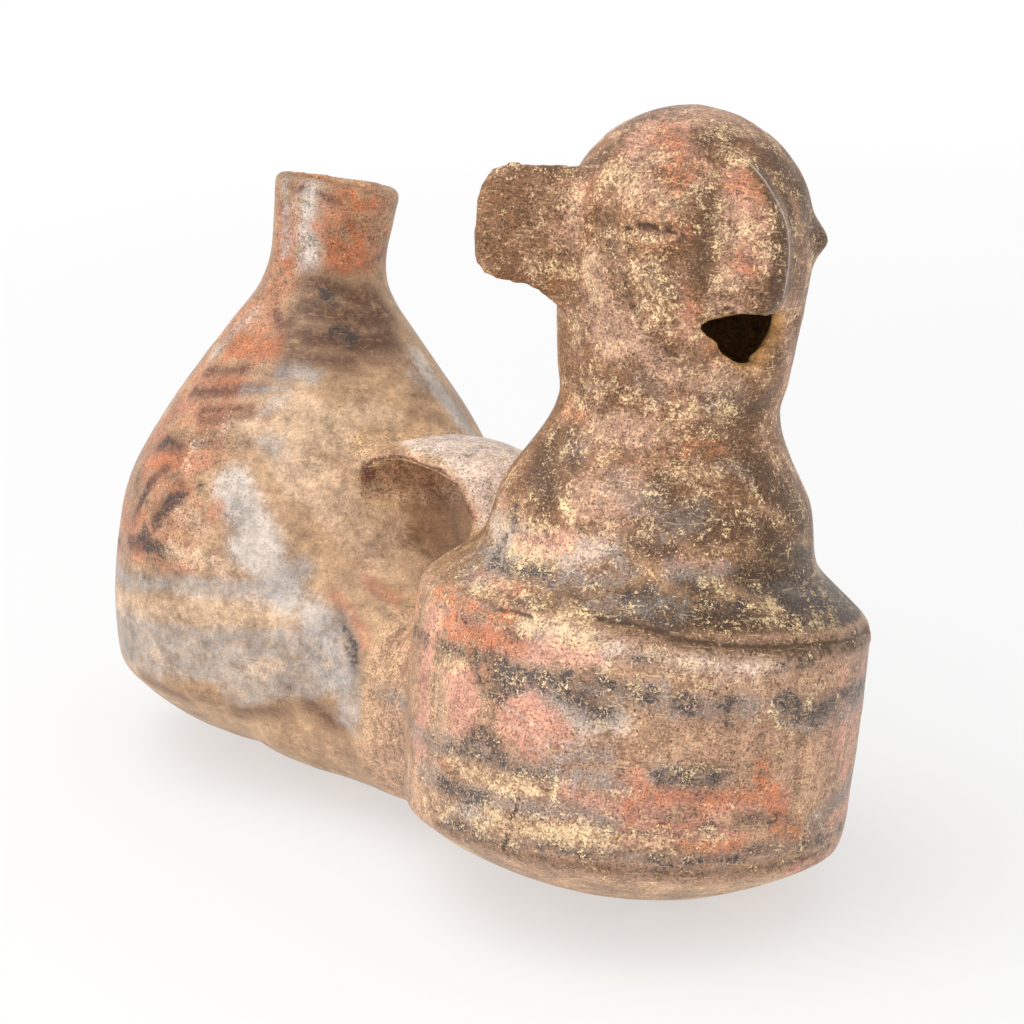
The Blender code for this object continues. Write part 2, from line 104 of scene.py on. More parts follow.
body = {
    "grain": 1.51 * mm,
    "softenRounds": 14,
    "edgeRounds": 2,
    "innerKeep": 0.13,
    "rimHeight": 182.0,
    "rimSlope": (-0.045, 0.04),
    "rimFrom": 40.0,
    "rimBand": 1.5,
    "rimDepth": 6.0,
    "faceFrom": -25.0,
    "figureFrom": -10.0,
    "cornerWidth": 3.5,
    "soften": 0.5,
    "lipTurn": 50.0,
    "lipHalf": 12.0,
    "lipReach": (29.5, 33.5),
    "floodReach": 57.6,
    "floodZ": (35.0, 70.0),
    "floodTurn": 100.0,
    "headX": 1.0,
    "headY": -73.05,
    "headRadius": 33.4,
    "noseRadius": 40.0,
    "drumRadius": 61.0,
    "lineRadius": 61.5,
    "neckZ": 135.0,
    "mouthZ": 163.8,
    "mouthTurn": -9.0,
    "mouthDrop": 7.0,
    "lipDrop": 6.0,
    # half height and fade of the mouth's walls, lips and torn clay
    "wallLevel": (6.0, 3.0),
    "lipLevel": (7.0, 3.0),
    "tornLevel": (9.0, 1.5),
    "mouthLean": 5.0,
    "mouthFlare": 4.5,
    "mouthCorner": 2.2,
    "shoulderZ": 81.5,
    "footZ": 19.5,
}


# The start and end of each soft edge, in mm, in degrees, or as a share of a facing
softEdges = {
    # the mouth's walls: mm along the head's wall from the mouth's middle, then mm from the head's axis
    "leanFrom": (4, 12),
    "leanTo": (30, 20),
    "flareFrom": (5, 13),
    "flareTo": (36, 20),
    "cornerFrom": (-8, -14),
    "cornerTo": (-30, -20),
    "wallReach": (20, 25),
    "wallDeep": (33.2, 29.5),
    # the nose, the corners of the drum, and the mouth's top
    "noseTurn": (60, 50),
    "cornerReach": (54, 58),
    "lipTop": (169, 166),
    # where each painted zone gives way to the next
    "figureY": (0, -12),
    "drumReach": (54, 57),
    "drumTop": (84.5, 83),
    "shoulderFoot": (79, 81),
    "shoulderTop": (110, 106),
    "headFoot": (100, 106),
    "rearY": (-6, 4),
    "strapToHead": (38, 43),
    "strapToRear": (44, 48),
    "strapFoot": (89, 95),
    "strapSide": (25, 23),
    "strapBack": (36, 26),
    "strapFront": (-62, -34),
    # the strap's painted sheen on its upward-facing top
    "sheenFacing": (0.1, 0.5),
    "sheenSide": (21, 16),
    "sheenBack": (22, 10),
    "underFacing": (-0.3, -0.7),
    "wornSide": (18, 20),
    "wornAbove": (0.6, 0.1),
    "wornBelow": (-0.9, -0.5),
    "redSide": (12, 19),
    "redAbove": (0.9, 0.2),
    "redBelow": (-0.7, -0.2),
    "washRight": (-58, -84),
    "washLeft": (62, 90),
    "washBack": (176, 140),
    "washFoot": (60, 68),
    "washSpout": (150, 162),
    "tornFacing": (0.8, 0.5),
    "tornOuter": (33.4, 32.6),
    "tornInner": (31.8, 30.8),
    "tornTurn": (48, 42),
}


def edge(value, name):
    return smooth(value, *softEdges[name])


# upright axes of the forms, as x and y in mm
axes = {
    "drum": (0.0, rest["drumY"]),
    "shoulder": (0.0, rest["drumY"]),
    "head": (body["headX"], body["headY"]),
    "rear": (rest["rearX"], rest["rearY"]),
}


def applied(obj):
    # the object's mesh with its modifiers worked in
    bpy.context.view_layer.update()
    made = bpy.data.meshes.new_from_object(obj.evaluated_get(bpy.context.evaluated_depsgraph_get()))
    obj.modifiers.clear()
    old = obj.data
    obj.data = made
    bpy.data.meshes.remove(old)
    return obj


def readRows(items, name, width=3, kind=float):
    flat = np.empty(len(items) * width, dtype=kind)
    items.foreach_get(name, flat)
    return flat.reshape(-1, width)


def writePoints(mesh, points):
    mesh.vertices.foreach_set("co", points.ravel())
    mesh.update()


def readEdges(mesh):
    return readRows(mesh.edges, "vertices", 2, np.int64)


def neighbourMean(values, edges, count):
    total = np.zeros_like(values)
    for column in range(values.shape[1]):
        total[:, column] = np.bincount(edges[:, 0], values[edges[:, 1], column], count)
        total[:, column] += np.bincount(edges[:, 1], values[edges[:, 0], column], count)
    degree = np.bincount(edges.ravel(), minlength=count)
    return total / np.maximum(degree, 1)[:, None]


def aroundAxis(up, name):
    # angle from the front in degrees, and distance from an upright axis
    x, y = axes[name]
    angle = np.degrees(np.arctan2(up[:, 0] - x, -(up[:, 1] - y)))
    return angle, np.hypot(up[:, 0] - x, up[:, 1] - y)


def insideOf(mesh, up):
    # True for the vertices of the hollow's skin: what a flood from inside the drum reaches before the rim and lip
    edges = readEdges(mesh)
    rimZ = body["rimHeight"] + body["rimSlope"][0] * up[:, 0] + body["rimSlope"][1] * (up[:, 1] - rest["rearY"])
    rim = (up[:, 1] > body["rimFrom"]) & (up[:, 2] > rimZ - body["rimBand"])
    angle, reach = aroundAxis(up, "head")
    off = np.abs(angle - body["mouthTurn"])
    near, far = body["lipReach"]
    lip = (off < body["lipTurn"]) & (np.abs(up[:, 2] - body["mouthZ"] + body["lipDrop"]) < body["lipHalf"])
    lip &= (reach > near) & (reach < far)
    blocked = rim | lip
    drumAngle, drumReach = aroundAxis(up, "drum")
    low, high = body["floodZ"]
    seed = (drumReach < body["floodReach"]) & (np.abs(drumAngle) < body["floodTurn"])
    seed &= (up[:, 2] > low) & (up[:, 2] < high)
    reached = seed & ~blocked
    open_ = edges[~(blocked[edges[:, 0]] | blocked[edges[:, 1]])]
    while True:
        grown = reached.copy()
        grown[open_[reached[open_[:, 0]], 1]] = True
        grown[open_[reached[open_[:, 1]], 0]] = True
        if grown.sum() == reached.sum():
            return reached
        reached = grown


def makeBody():
    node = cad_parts["whistling_vessel"]
    mesh = node.data.copy()
    obj = bpy.data.objects.new("clay_vessel", mesh)
    bpy.context.scene.collection.objects.link(obj)
    bm = bmesh.new()
    bm.from_mesh(mesh)
    bmesh.ops.remove_doubles(bm, verts=bm.verts, dist=0.01 * mm)
    bm.to_mesh(mesh)
    bm.free()
    mesh.materials.clear()
    skin = obj.modifiers.new("skin", "REMESH")
    skin.mode = "VOXEL"
    skin.voxel_size = body["grain"]
    applied(obj)
    up = toUpright(readRows(obj.data.vertices, "co"))
    inner = insideOf(obj.data, up)
    print("skin:", len(up), "vertices,", int(inner.sum()), "inside")
    group = obj.vertex_groups.new(name="hollow")
    group.add([int(i) for i in np.flatnonzero(inner)], 1.0, "REPLACE")
    thin = obj.modifiers.new("thin", "DECIMATE")
    thin.ratio = 1.0 - (1.0 - body["innerKeep"]) * inner.mean()
    thin.vertex_group = "hollow"
    applied(obj)
    obj.vertex_groups.clear()
    print("thinned:", len(obj.data.vertices), "vertices")
    return obj


# Relief: what the potter's hand, the tool and time left on the skin, in mm along the normal

relief = {
    # turn, height, half length, share of the slit
    "eyes": ((-62.5, 183.0, 8.2, 1.0), (49.0, 183.0, 7.0, 0.0)),
    "slitDepth": 1.5,
    "slitWidth": 0.9,
    "lidHeight": 1.0,
    "browHeight": 0.45,
    "closedWidth": 2.4,
    "eyeBend": 0.006,
    "browBend": 0.02,
    # rise above the slit, width and share
    "lids": ((2.2, 1.3, 1.0), (-2.5, 1.5, 1.1)),
    "folds": ((6.4, 0.9, 1.0), (9.0, 0.9, 0.8)),
    "earTurns": (-114.0, 102.0),
    "earZ": 180.5,
    "earDish": 0.9,
    "earReach": 48.0,
    "earWidths": (9.0, 8.0, 11.0),      # turn, reach, height
    "drumFrom": 52.0,
    "lipSide": (14.0, 3.0),
    "waves": ((0.30, 27.0, 1), (0.13, 9.0, 2), (0.07, 4.2, 3)),     # height, size, seed
    "fillAt": (-35.5, 44.0, 16.5),
    "fillRise": 1.2,
    "fillWidth": 13.0,
    "lumpRise": 0.8,
    # height, size and seed
    "tornWave": (0.5, 2.6, 4),
    "innerWave": (0.15, 6.0, 5),
    # wall radius, width, rise and path of each line
    "groove": (body["drumRadius"], 1.3, -0.9, [(-57, 85.6), (-47, 85), (-37, 83), (-22, 81.6), (-10, 81.3),
                                               (16, 80.9), (34, 80.8)]),
    "ledge": (body["drumRadius"], 1.5, 0.5, [(-70, 82.4), (-56, 81.1), (-46, 79.3), (-36, 78.5), (-10, 77.6),
                                             (20, 77.6), (36, 78.4)]),
    "noseFoot": (body["headRadius"], 3.2, -0.9, [(-30, 201), (-36, 194), (-38.5, 185), (-37, 176), (-35, 168)]),
    "noseEdge": (body["noseRadius"], 1.3, 0.5, [(-20, 202), (-15.5, 197), (-13, 188), (-12.6, 178), (-13, 169)]),
    "lumps": ((-80.5, 84.2, 2.2), (-77.0, 85.6, 2.0), (-73.0, 84.2, 2.4), (-75.5, 82.8, 1.8)),
}


def segmentDistance(x, y, start, end):
    dx, dy = end[0] - start[0], end[1] - start[1]
    length = np.maximum(dx * dx + dy * dy, 1e-9)
    along = np.clip(((x - start[0]) * dx + (y - start[1]) * dy) / length, 0.0, 1.0)
    return np.hypot(x - start[0] - along * dx, y - start[1] - along * dy)


def pathDistance(angle, height, radius, path):
    # distance in mm from a path of (angle, height) points on a wall of that radius, one number or one a vertex
    k = math.radians(1) * radius
    points = [(a * k, h) for a, h in path]
    if len(points) == 1:
        points = points * 2
    return np.min([segmentDistance(angle * k, height, p, q) for p, q in zip(points, points[1:])], axis=0)


def headArc(angle):
    # mm along the head's wall
    return angle * math.radians(1) * body["headRadius"]


def bump(distance, width):
    return np.exp(-(distance / width) ** 2)


def mouthLevel(z, name):
    # 1 at the mouth's height, fading above and below it
    half, fade = body[name]
    return bump(np.maximum(0, np.abs(z - body["mouthZ"] + body["mouthDrop"]) - half), fade)


def ridges(height, rows):
    return sum(share * bump(height - rise, width) for rise, width, share in rows)


def line(weight, angle, z, name):
    # a ridge along one of the lines, or a groove where its rise is below 0
    radius, width, rise, path = relief[name]
    return weight * rise * bump(pathDistance(angle, z, radius, path), width)


def reliefOf(up, inner):
    amount = sum(height * lattice(up, size, seed) for height, size, seed in relief["waves"])
    figure = up[:, 1] < 0
    angle, reach = aroundAxis(up, "head")
    z = up[:, 2]
    onHead = figure & (z > body["neckZ"])
    for turned, height, half, slit in relief["eyes"]:
        u = headArc(angle - turned)
        v = z - height + relief["eyeBend"] * u * u
        fade = smooth(np.abs(u), half + 2, half - 3) * onHead
        lids = slit * ridges(v, relief["lids"]) + (1 - slit) * bump(v, relief["closedWidth"])
        folds = ridges(v - relief["browBend"] * u * u, relief["folds"])
        amount += fade * (relief["lidHeight"] * lids - relief["slitDepth"] * slit * bump(v, relief["slitWidth"]))
        amount += fade * slit * relief["browHeight"] * folds
    wide, deep, high = relief["earWidths"]
    for earTurn in relief["earTurns"]:
        near = bump(angle - earTurn, wide) * onHead
        amount -= relief["earDish"] * near * bump(reach - relief["earReach"], deep) * bump(z - relief["earZ"], high)
    nose = onHead * edge(np.abs(angle), "noseTurn")
    amount += line(nose, angle, z, "noseFoot")
    amount += line(nose, angle, z, "noseEdge")
    drumAngle, drumReach = aroundAxis(up, "drum")
    onDrum = figure & (drumReach > relief["drumFrom"])
    fillReach = np.linalg.norm(up - np.array(relief["fillAt"]), axis=1)
    amount += relief["fillRise"] * bump(fillReach, relief["fillWidth"])
    amount += line(onDrum, drumAngle, z, "ledge")
    amount += line(onDrum, drumAngle, z, "groove")
    for lumpAngle, lumpZ, size in relief["lumps"]:
        distance = pathDistance(drumAngle, z, body["drumRadius"], [(lumpAngle, lumpZ)])
        amount += relief["lumpRise"] * bump(distance, size) * onDrum
    off = headArc(np.abs(angle - body["mouthTurn"]))
    half, fade = relief["lipSide"]
    lip = bump(np.maximum(0, off - half), fade) * mouthLevel(z, "lipLevel") * onHead
    height, size, seed = relief["tornWave"]
    amount += height * lip * lattice(up, size, seed)
    height, size, seed = relief["innerWave"]
    return np.where(inner, height * lattice(up, size, seed), amount)


def leanedMouth(up):
    # the mouth's left wall leans in towards the hollow, so its broken clay shows
    angle, reach = aroundAxis(up, "head")
    side = headArc(angle - body["mouthTurn"])
    level = mouthLevel(up[:, 2], "wallLevel")
    wall = edge(reach, "wallReach")
    deep = edge(reach, "wallDeep")
    share = edge(side, "leanFrom") * edge(side, "leanTo") * level * wall * deep * -body["mouthLean"]
    share += edge(side, "flareFrom") * edge(side, "flareTo") * level * (1 - deep) * body["mouthFlare"]
    share += edge(side, "cornerFrom") * edge(side, "cornerTo") * level * wall * body["mouthCorner"]
    a = np.radians(angle)
    moved = up.copy()
    moved[:, 0] += np.cos(a) * share
    moved[:, 1] += np.sin(a) * share
    return moved


def workSkin(obj):
    mesh = obj.data
    points = readRows(mesh.vertices, "co")
    edges = readEdges(mesh)
    count = len(points)
    up = toUpright(points)
    # nose, ears, eyes and mouth keep their edges
    fine = (up[:, 1] < body["faceFrom"]) & (up[:, 2] > body["neckZ"])
    rim = (up[:, 1] > body["rimFrom"]) & (up[:, 2] > body["rimHeight"] - body["rimDepth"])
    drumReach = aroundAxis(up, "drum")[1]
    corner = sum(bump(up[:, 2] - body[name], body["cornerWidth"]) for name in ("shoulderZ", "footZ"))
    corner *= edge(drumReach, "cornerReach") * (up[:, 1] < body["figureFrom"])
    lips = edge(up[:, 2], "lipTop")
    full = body["soften"]
    for k in range(body["softenRounds"]):
        mean = neighbourMean(points, edges, count)
        keep = np.where(k < body["edgeRounds"] * (1 + lips), full, 0.0)
        weight = np.where(fine | rim, keep, full - (full - keep) * corner)[:, None]
        points = points + weight * (mean - points)
    points = toRest(leanedMouth(toUpright(points)))
    writePoints(mesh, points)
    up = toUpright(points)
    inner = insideOf(mesh, up)
    points = points + readRows(mesh.vertices, "normal") * (reliefOf(up, inner) * mm)[:, None]
    points[:, 2] = np.maximum(points[:, 2], 0.0)
    writePoints(mesh, points)
    for polygon in mesh.polygons:
        polygon.use_smooth = True
    print("worked skin")
    return up, inner


# Paint: what the worn slip, resist and smoke left, with painted sheen and painted shade, as strokes: a width in mm,
# then (angle, height) points.
# Angles are from the figure's front, less than 0 to its right.

drumPaint = {
    "black": [
        (2.2, (-140, 67), (-122, 68), (-112, 67.6)), (3.0, (40, 66.6), (62, 68), (84, 67), (112, 68)),
        (3.0, (44, 44), (58, 45.4), (70, 44)), (2.4, (86, 45), (104, 44)),
        (1.9, (22, 27.5), (50, 26), (80, 25), (110, 25.4)),
        (3.0, (-103, 68.5), (-94, 68.8), (-88, 69.5), (-80, 70.8)),
        (2.6, (-89, 70), (-87.5, 65), (-84.5, 61.5), (-80.5, 60.8)), (5.0, (-82.5, 70), (-81.5, 65), (-80, 61)),
        (4.5, (-80, 69), (-76.5, 66.5)), (3.4, (-77, 68), (-70, 67.5), (-62, 68.5)),
        (5.5, (-63, 66), (-57, 63.5), (-53, 62)), (2.6, (-56, 69), (-47, 68.5), (-42, 67)),
        (4.0, (-36, 67), (-33, 65.5)), (3.4, (-24, 67), (-23.5, 61)), (5.5, (-8, 67), (-2, 64.5), (5, 63), (10, 65)),
        (4.0, (15, 67), (24, 66), (34, 67)), (1.6, (-96, 78.2), (-90.5, 77.5)), (2.0, (-80, 77.4), (-76, 77.6)),
        (2.4, (-47.5, 76.5), (-42.5, 76.2)), (2.4, (-11, 76.5), (-5, 76), (1, 77.5)),
        (4.6, (-89.5, 45.5), (-87, 49.5), (-82, 49), (-77.5, 45.5)),
        (2.4, (-97, 42.5), (-88, 43.5), (-76, 43), (-66, 42.5)),
        (3.6, (-37.5, 46), (-32, 46.5), (-26, 45.5), (-22.5, 47.5)), (2.6, (-29, 49), (-23, 49.5)),
        (4.4, (-98, 32.5), (-90, 32.2), (-83, 33)), (2.0, (-39.5, 36.2), (-31, 36)),
        (1.7, (-48, 31.4), (-40, 31.4), (-32.5, 32)), (2.2, (-28, 33), (-22, 33.2)),
        (2.4, (-17, 36), (-12, 36.3), (-8.5, 35.4)), (1.6, (-4, 35.5), (-1, 34.6)), (2.0, (-93, 24.3), (-85, 23.7)),
        (1.4, (-87, 22.6), (-76, 22.2), (-64, 23.6)), (2.2, (-64.5, 25.2), (-60, 24.8)),
        (1.3, (-57, 24), (-46, 25.2)), (2.6, (-39.5, 25.3), (-35.5, 25.7)), (1.9, (-33, 24.2), (-22, 24.6)),
        (2.2, (-19, 25.4), (-14, 25.6)), (2.2, (-13, 27.6), (-7.5, 27.4)),
        (1.9, (-1, 26.2), (6, 26.6), (13, 26.8), (22, 27.5)),
    ],
    "grey": [
        (6.0, (36, 65), (64, 66), (100, 66), (130, 66)), (5.0, (30, 38), (56, 43), (90, 43), (120, 43)),
        (3.0, (24, 28), (60, 26), (110, 25)), (4.0, (-150, 43), (-126, 43), (-103, 42)),
        (5.5, (-78, 67), (-68, 67), (-55, 67.5), (-40, 68)), (7.5, (-66, 65), (-57, 61.5), (-52, 62)),
        (6.0, (-40, 66), (-28, 65), (-18, 66)), (8.0, (-9, 66), (0, 62), (12, 64)),
        (9.0, (15, 63), (25, 65), (36, 64)), (5.0, (-103, 42), (-88, 45), (-76, 43.5), (-62, 44), (-47, 43.6)),
        (5.0, (-66, 46), (-60, 50), (-52, 50.5)), (6.0, (-38, 46.5), (-24, 46.8)),
        (5.0, (-108, 33), (-92, 33), (-78, 32.5), (-66, 34), (-58, 35.4), (-48, 33)),
        (3.5, (-96, 28), (-86, 27.5), (-80, 28)),
        (2.6, (-95, 24), (-80, 23), (-62, 24.6), (-46, 25), (-22, 25), (-5, 26.5), (20, 28)),
        (6.0, (8, 32), (18, 36), (30, 38)), (5.0, (12, 30), (16, 27)),
    ],
    "red": [
        (13.0, (56, 57), (57, 52)), (13.0, (82, 57), (83, 52)), (5.0, (48, 75), (80, 75.5), (112, 75)),
        (6.0, (-142, 74), (-126, 75)), (7.0, (18, 30), (34, 33), (64, 34), (100, 33)),
        (13.0, (-93, 60.5), (-92.6, 57), (-92, 52.5)), (18.0, (-72.5, 57), (-68, 53.4)),
        (7.0, (-104, 76), (-90, 75.5), (-79, 75), (-70, 76), (-58, 76)), (9.0, (-110, 74), (-112, 58), (-112, 40)),
        (5.0, (-60, 40), (-52, 37), (-48, 36)), (9.0, (-45, 44), (-40, 38), (-44, 33)),
        (8.0, (-38, 31), (-30, 34), (-20, 30)), (7.0, (-40, 41), (-20, 41), (-6, 40)),
        (5.0, (14, 72), (18, 58), (16, 46)), (5.0, (4, 20.5), (24, 20.5), (44, 21.5)),
        (8.0, (28, 70), (27, 55), (24, 45)),
    ],
    "orange": [
        (6.5, (-100, 74.5), (-93, 75), (-86, 75), (-77, 75.5)), (3.2, (-92.5, 73), (-91, 69.5)),
        (1.8, (-85.6, 67), (-84.4, 63)), (1.8, (-110, 82.2), (-98, 81.6), (-88, 81.4), (-79, 81)),
        (3.0, (-45, 45), (-44.5, 38), (-45, 32.5)), (4.5, (-41, 42), (-30, 42), (-16, 42), (-6, 41)),
        (4.6, (-13, 50), (-12, 45), (-8, 40), (-4, 36)), (5.0, (-5, 34), (0, 31), (6, 29)),
        (2.0, (-38, 33.8), (-30, 34)), (3.4, (-32, 29), (-24, 28), (-16, 29)), (4.0, (-31, 42), (-29, 38)),
        (2.4, (-99, 38.5), (-95, 37.5)), (1.6, (-98, 41), (-96, 40)),
    ],
    "cream": [
        (3.4, (40, 30), (66, 29.6), (96, 30)), (2.4, (70, 38.6), (100, 38.4)), (1.3, (-101, 65.4), (-91, 67)),
        (3.4, (-96, 39.4), (-85, 38.8), (-76, 39.4), (-66, 38.4)), (2.6, (-85, 25.2), (-78, 25.4), (-72, 24.6)),
        (4.0, (-80, 29), (-70, 28), (-58, 28.6), (-48, 28.6)), (1.0, (-62, 31), (-52, 31.2), (-36, 31.4)),
        (2.8, (-39, 28.5), (-33, 28.5)), (1.6, (-30, 31), (-21.5, 31)), (2.2, (-36.5, 75.4), (-33, 74), (-31, 72)),
        (1.8, (-27.5, 71), (-25.4, 73.2)), (1.6, (-44, 79), (-40, 78)), (1.3, (1, 69), (4, 71)),
        (1.0, (-1, 66), (2.4, 68)), (5.0, (-75, 80), (-66, 80.6), (-57, 79.6)), (3.0, (-104, 26), (-94, 27)),
    ],
    # painted shadow along and under the shoulder's edge; the thin lowest line runs along the foot
    "dark": [
        (2.6, (-57, 84.6), (-47, 84), (-37, 82.4), (-22, 81.2), (-10, 81), (16, 80.6), (36, 80.6)),
        (2.5, (-10, 79.5), (10, 79.2), (30, 79)), (1.2, (-100, 21), (-60, 20.6), (-20, 21.6), (20, 23.5)),
    ],
    # painted sheen and highlight, mostly: a patch on the wall's left and a thin line under the shoulder's edge
    "paleSheen": [
        (7.0, (-74, 77), (-64, 77.5), (-56, 77)), (2.4, (-56, 79), (-46, 77.6), (-36, 76.6), (-24, 76), (-10, 75.8)),
        (6.0, (-64, 62), (-58, 58), (-50, 60)), (4.0, (-88, 28), (-84, 33)),
    ],
}

shoulderPaint = {
    "black": [
        (2.8, (-101, 92), (-94, 92), (-86, 92.4), (-76, 92)), (2.6, (-106, 97), (-102, 94)),
        (3.0, (-104, 106), (-102, 101)), (2.2, (-80.5, 84), (-77, 85.6), (-72.5, 84.6), (-76, 82.8)),
        (1.4, (-60, 84.4), (-50, 84), (-40, 85)), (2.4, (-54, 91), (-46, 91.4)),
        (2.6, (-30, 90), (-24, 89.6), (-18, 90)), (5.0, (-5, 92), (3, 88.8), (11, 88.4), (22, 89), (34, 88)),
        (3.0, (10, 85.4), (26, 86), (40, 85.4)), (3.5, (8, 96), (16, 94)), (1.6, (-12, 92.4), (-9, 91.8)),
    ],
    "grey": [
        (4.0, (-118, 93), (-100, 92), (-84, 92), (-70, 92.4), (-56, 93)), (4.0, (-60, 88), (-46, 90), (-36, 90)),
        (3.6, (-38, 96.5), (-28, 97.5), (-18, 97)), (3.0, (-58, 100), (-52, 95)), (4.0, (0, 93), (14, 91), (30, 90)),
        (2.4, (-110, 88), (-96, 86.4)),
    ],
    "cream": [
        (4.5, (-96, 97), (-90, 96), (-84, 97)), (2.4, (-98, 85), (-92, 85.2), (-87, 84.4)),
        (1.2, (-76.5, 84.3), (-74.5, 84)), (2.4, (-70, 85), (-64, 84.4), (-58.5, 84.6)), (2.0, (-88, 96), (-80, 99)),
        (4.6, (-11, 86.5), (-9, 89), (-6.5, 91)), (1.6, (-1, 83), (6, 85), (11, 87.5)),
        (1.0, (2, 82), (9, 83.4), (15, 86)), (1.0, (-58, 83.6), (-53, 82.6)), (2.4, (-25, 94.6), (-22, 94)),
        (3.0, (-92, 101), (-86, 104)),
    ],
    "orange": [
        (2.2, (-110, 83), (-98, 82.8), (-88, 82.6), (-78, 82)), (2.0, (-86, 88), (-80, 88)),
    ],
    # painted sheen on the shoulder's left and right, partly over the clay's own pale cream
    "paleSheen": [
        (11.0, (-120, 104), (-108, 100), (-98, 94)), (8.0, (-74, 98), (-66, 101), (-60, 106)),
        (5.0, (-102, 100), (-90, 100), (-80, 98)), (8.0, (36, 92), (40, 84)),
    ],
    "red": [
        (6.0, (-96, 98), (-84, 99), (-76, 100)), (2.4, (-104, 88), (-96, 88), (-84, 87)),
        (3.0, (-40, 100), (-30, 100)), (2.4, (-24, 99), (-14, 98.4)),
    ],
    # the shoulder's own dark olive, with painted shade along the groove at its edge
    "dark": [
        (6.5, (-50, 89), (-31, 87.4), (-13, 86.6), (-1, 85.2), (19, 85), (40, 84)),
        (11.0, (-6, 93), (12, 91.5), (30, 89.5), (46, 87)), (4.0, (-34, 94), (-24, 93)),
        (3.6, (-57, 85.8), (-47, 85.2), (-37, 83.4), (-22, 82), (-10, 81.8), (16, 81.4), (36, 81.4)),
        (7.0, (-14, 97), (2, 96), (18, 96)), (9.0, (-2, 104), (12, 102), (26, 98)), (4.0, (-52, 104), (-40, 102)),
        (2.0, (-70, 90), (-60, 87)),
    ],
}

headPaint = {
    "orange": [
        (6.0, (-70, 206), (-58, 203), (-50, 199)), (3.5, (-60, 199), (-52, 195)), (4.0, (-24, 197), (-19, 195)),
        (3.5, (-24, 178), (-18, 175)), (2.6, (-38, 128), (-16, 128)), (2.5, (-105, 132), (-92, 132.5)),
        (2.6, (-74, 180.6), (-62, 180), (-50, 181)), (1.6, (-72, 185.4), (-62, 186.4), (-52, 185)),
        (2.0, (-49, 182), (-46, 183)), (1.6, (-44, 168), (-40, 164)), (1.6, (-30, 152), (-24, 152)),
    ],
    "red": [
        (10.0, (-84, 206), (-66, 207), (-46, 200)), (4.0, (-72, 182), (-62, 181.6), (-50, 182.6)),
        (8.0, (-27, 198), (-20, 190), (-18, 176)), (4.0, (-108, 196), (-100, 186)),
        (3.0, (-48, 172), (-42, 164), (-44, 156)),
    ],
    # painted sheen and highlights on the crown, cheeks, neck and torso
    "paleSheen": [
        (7.0, (-85, 213), (-50, 214), (0, 213)), (9.0, (-92, 172), (-86, 160), (-78, 152)),
        (7.0, (-74, 158), (-62, 152), (-50, 147), (-36, 145), (-20, 147)), (3.0, (-80, 192), (-68, 194), (-56, 190)),
        (5.0, (-26, 190), (-24, 180), (-26, 172)), (4.0, (-104, 186), (-103, 176)),
        (7.0, (-80, 130), (-68, 131), (-58, 129)), (9.0, (-74, 113), (-64, 112), (-58, 116)),
        (6.0, (-60, 104), (-48, 102)), (6.0, (14, 166), (22, 154), (30, 146)), (4.0, (-30, 166), (-22, 165)),
        (3.5, (-84, 205), (-78, 198)),
    ],
    # the head's own dark paint, with painted shade on the nose's front, along its foot, on the far cheek behind it and
    # in the eye slit
    "dark": [
        (9.0, (-108, 122), (-98, 115), (-90, 111)), (5.0, (-96, 126), (-86, 120)),
        (8.0, (-46, 117), (-40, 110), (-30, 112)), (8.0, (-30, 106), (-16, 110), (0, 106)),
        (12.0, (-4, 122), (10, 116), (24, 110)), (5.0, (-14, 137), (-2, 138), (8, 140)),
        (10.0, (8, 203), (22, 196), (34, 184)), (7.5, (-10, 200), (-8.8, 190), (-8.8, 180), (-8.8, 167)),
        (5.0, (2, 194), (5, 184), (6, 172)), (5.0, (-44, 206), (-34, 208), (-20, 208)), (3.0, (-84, 184), (-80, 176)),
        (5.0, (-39, 193), (-39, 184), (-39, 172)), (1.4, (-74, 181), (-64, 181.8), (-56, 183)),
        (4.0, (-60, 172), (-50, 168)), (4.0, (-110, 196), (-104, 200)), (3.0, (-30, 133), (-20, 132), (0, 134)),
    ],
    "grey": [
        (8.0, (-52, 113), (-44, 108), (-32, 112)), (5.0, (-26, 140), (-12, 142)), (3.5, (-92, 123), (-86, 124)),
        (4.0, (-20, 124), (-10, 122)), (4.0, (-66, 118), (-56, 114)), (4.0, (-64, 144), (-54, 141)),
    ],
    "cream": [
        (4.0, (-90, 196), (-82, 196), (-76, 193)), (3.0, (-96, 174), (-90, 172), (-84, 175)),
        (3.0, (-30, 203.4), (-22, 204.4)), (2.0, (-44, 201), (-38, 203)),
        (1.8, (-74, 181.4), (-62, 180.8), (-52, 181)), (1.2, (-70, 185.8), (-62, 186.4), (-54, 185.4)),
        (2.0, (-66, 177), (-58, 176)), (3.0, (-106, 170), (-98, 171), (-90, 174)),
        (3.0, (-72, 172), (-64, 168), (-60, 170)), (2.4, (-56, 166), (-52, 160)),
        (3.0, (-24, 187), (-19, 186), (-17, 182)), (2.0, (-70, 140), (-60, 139)), (2.0, (-88, 144), (-84, 140)),
        (3.0, (13, 124), (18, 124.6)), (1.4, (-44, 136), (-42, 132)), (2.4, (-38, 121), (-32, 118)),
        (2.0, (-12, 122), (-8, 118)),
    ],
}

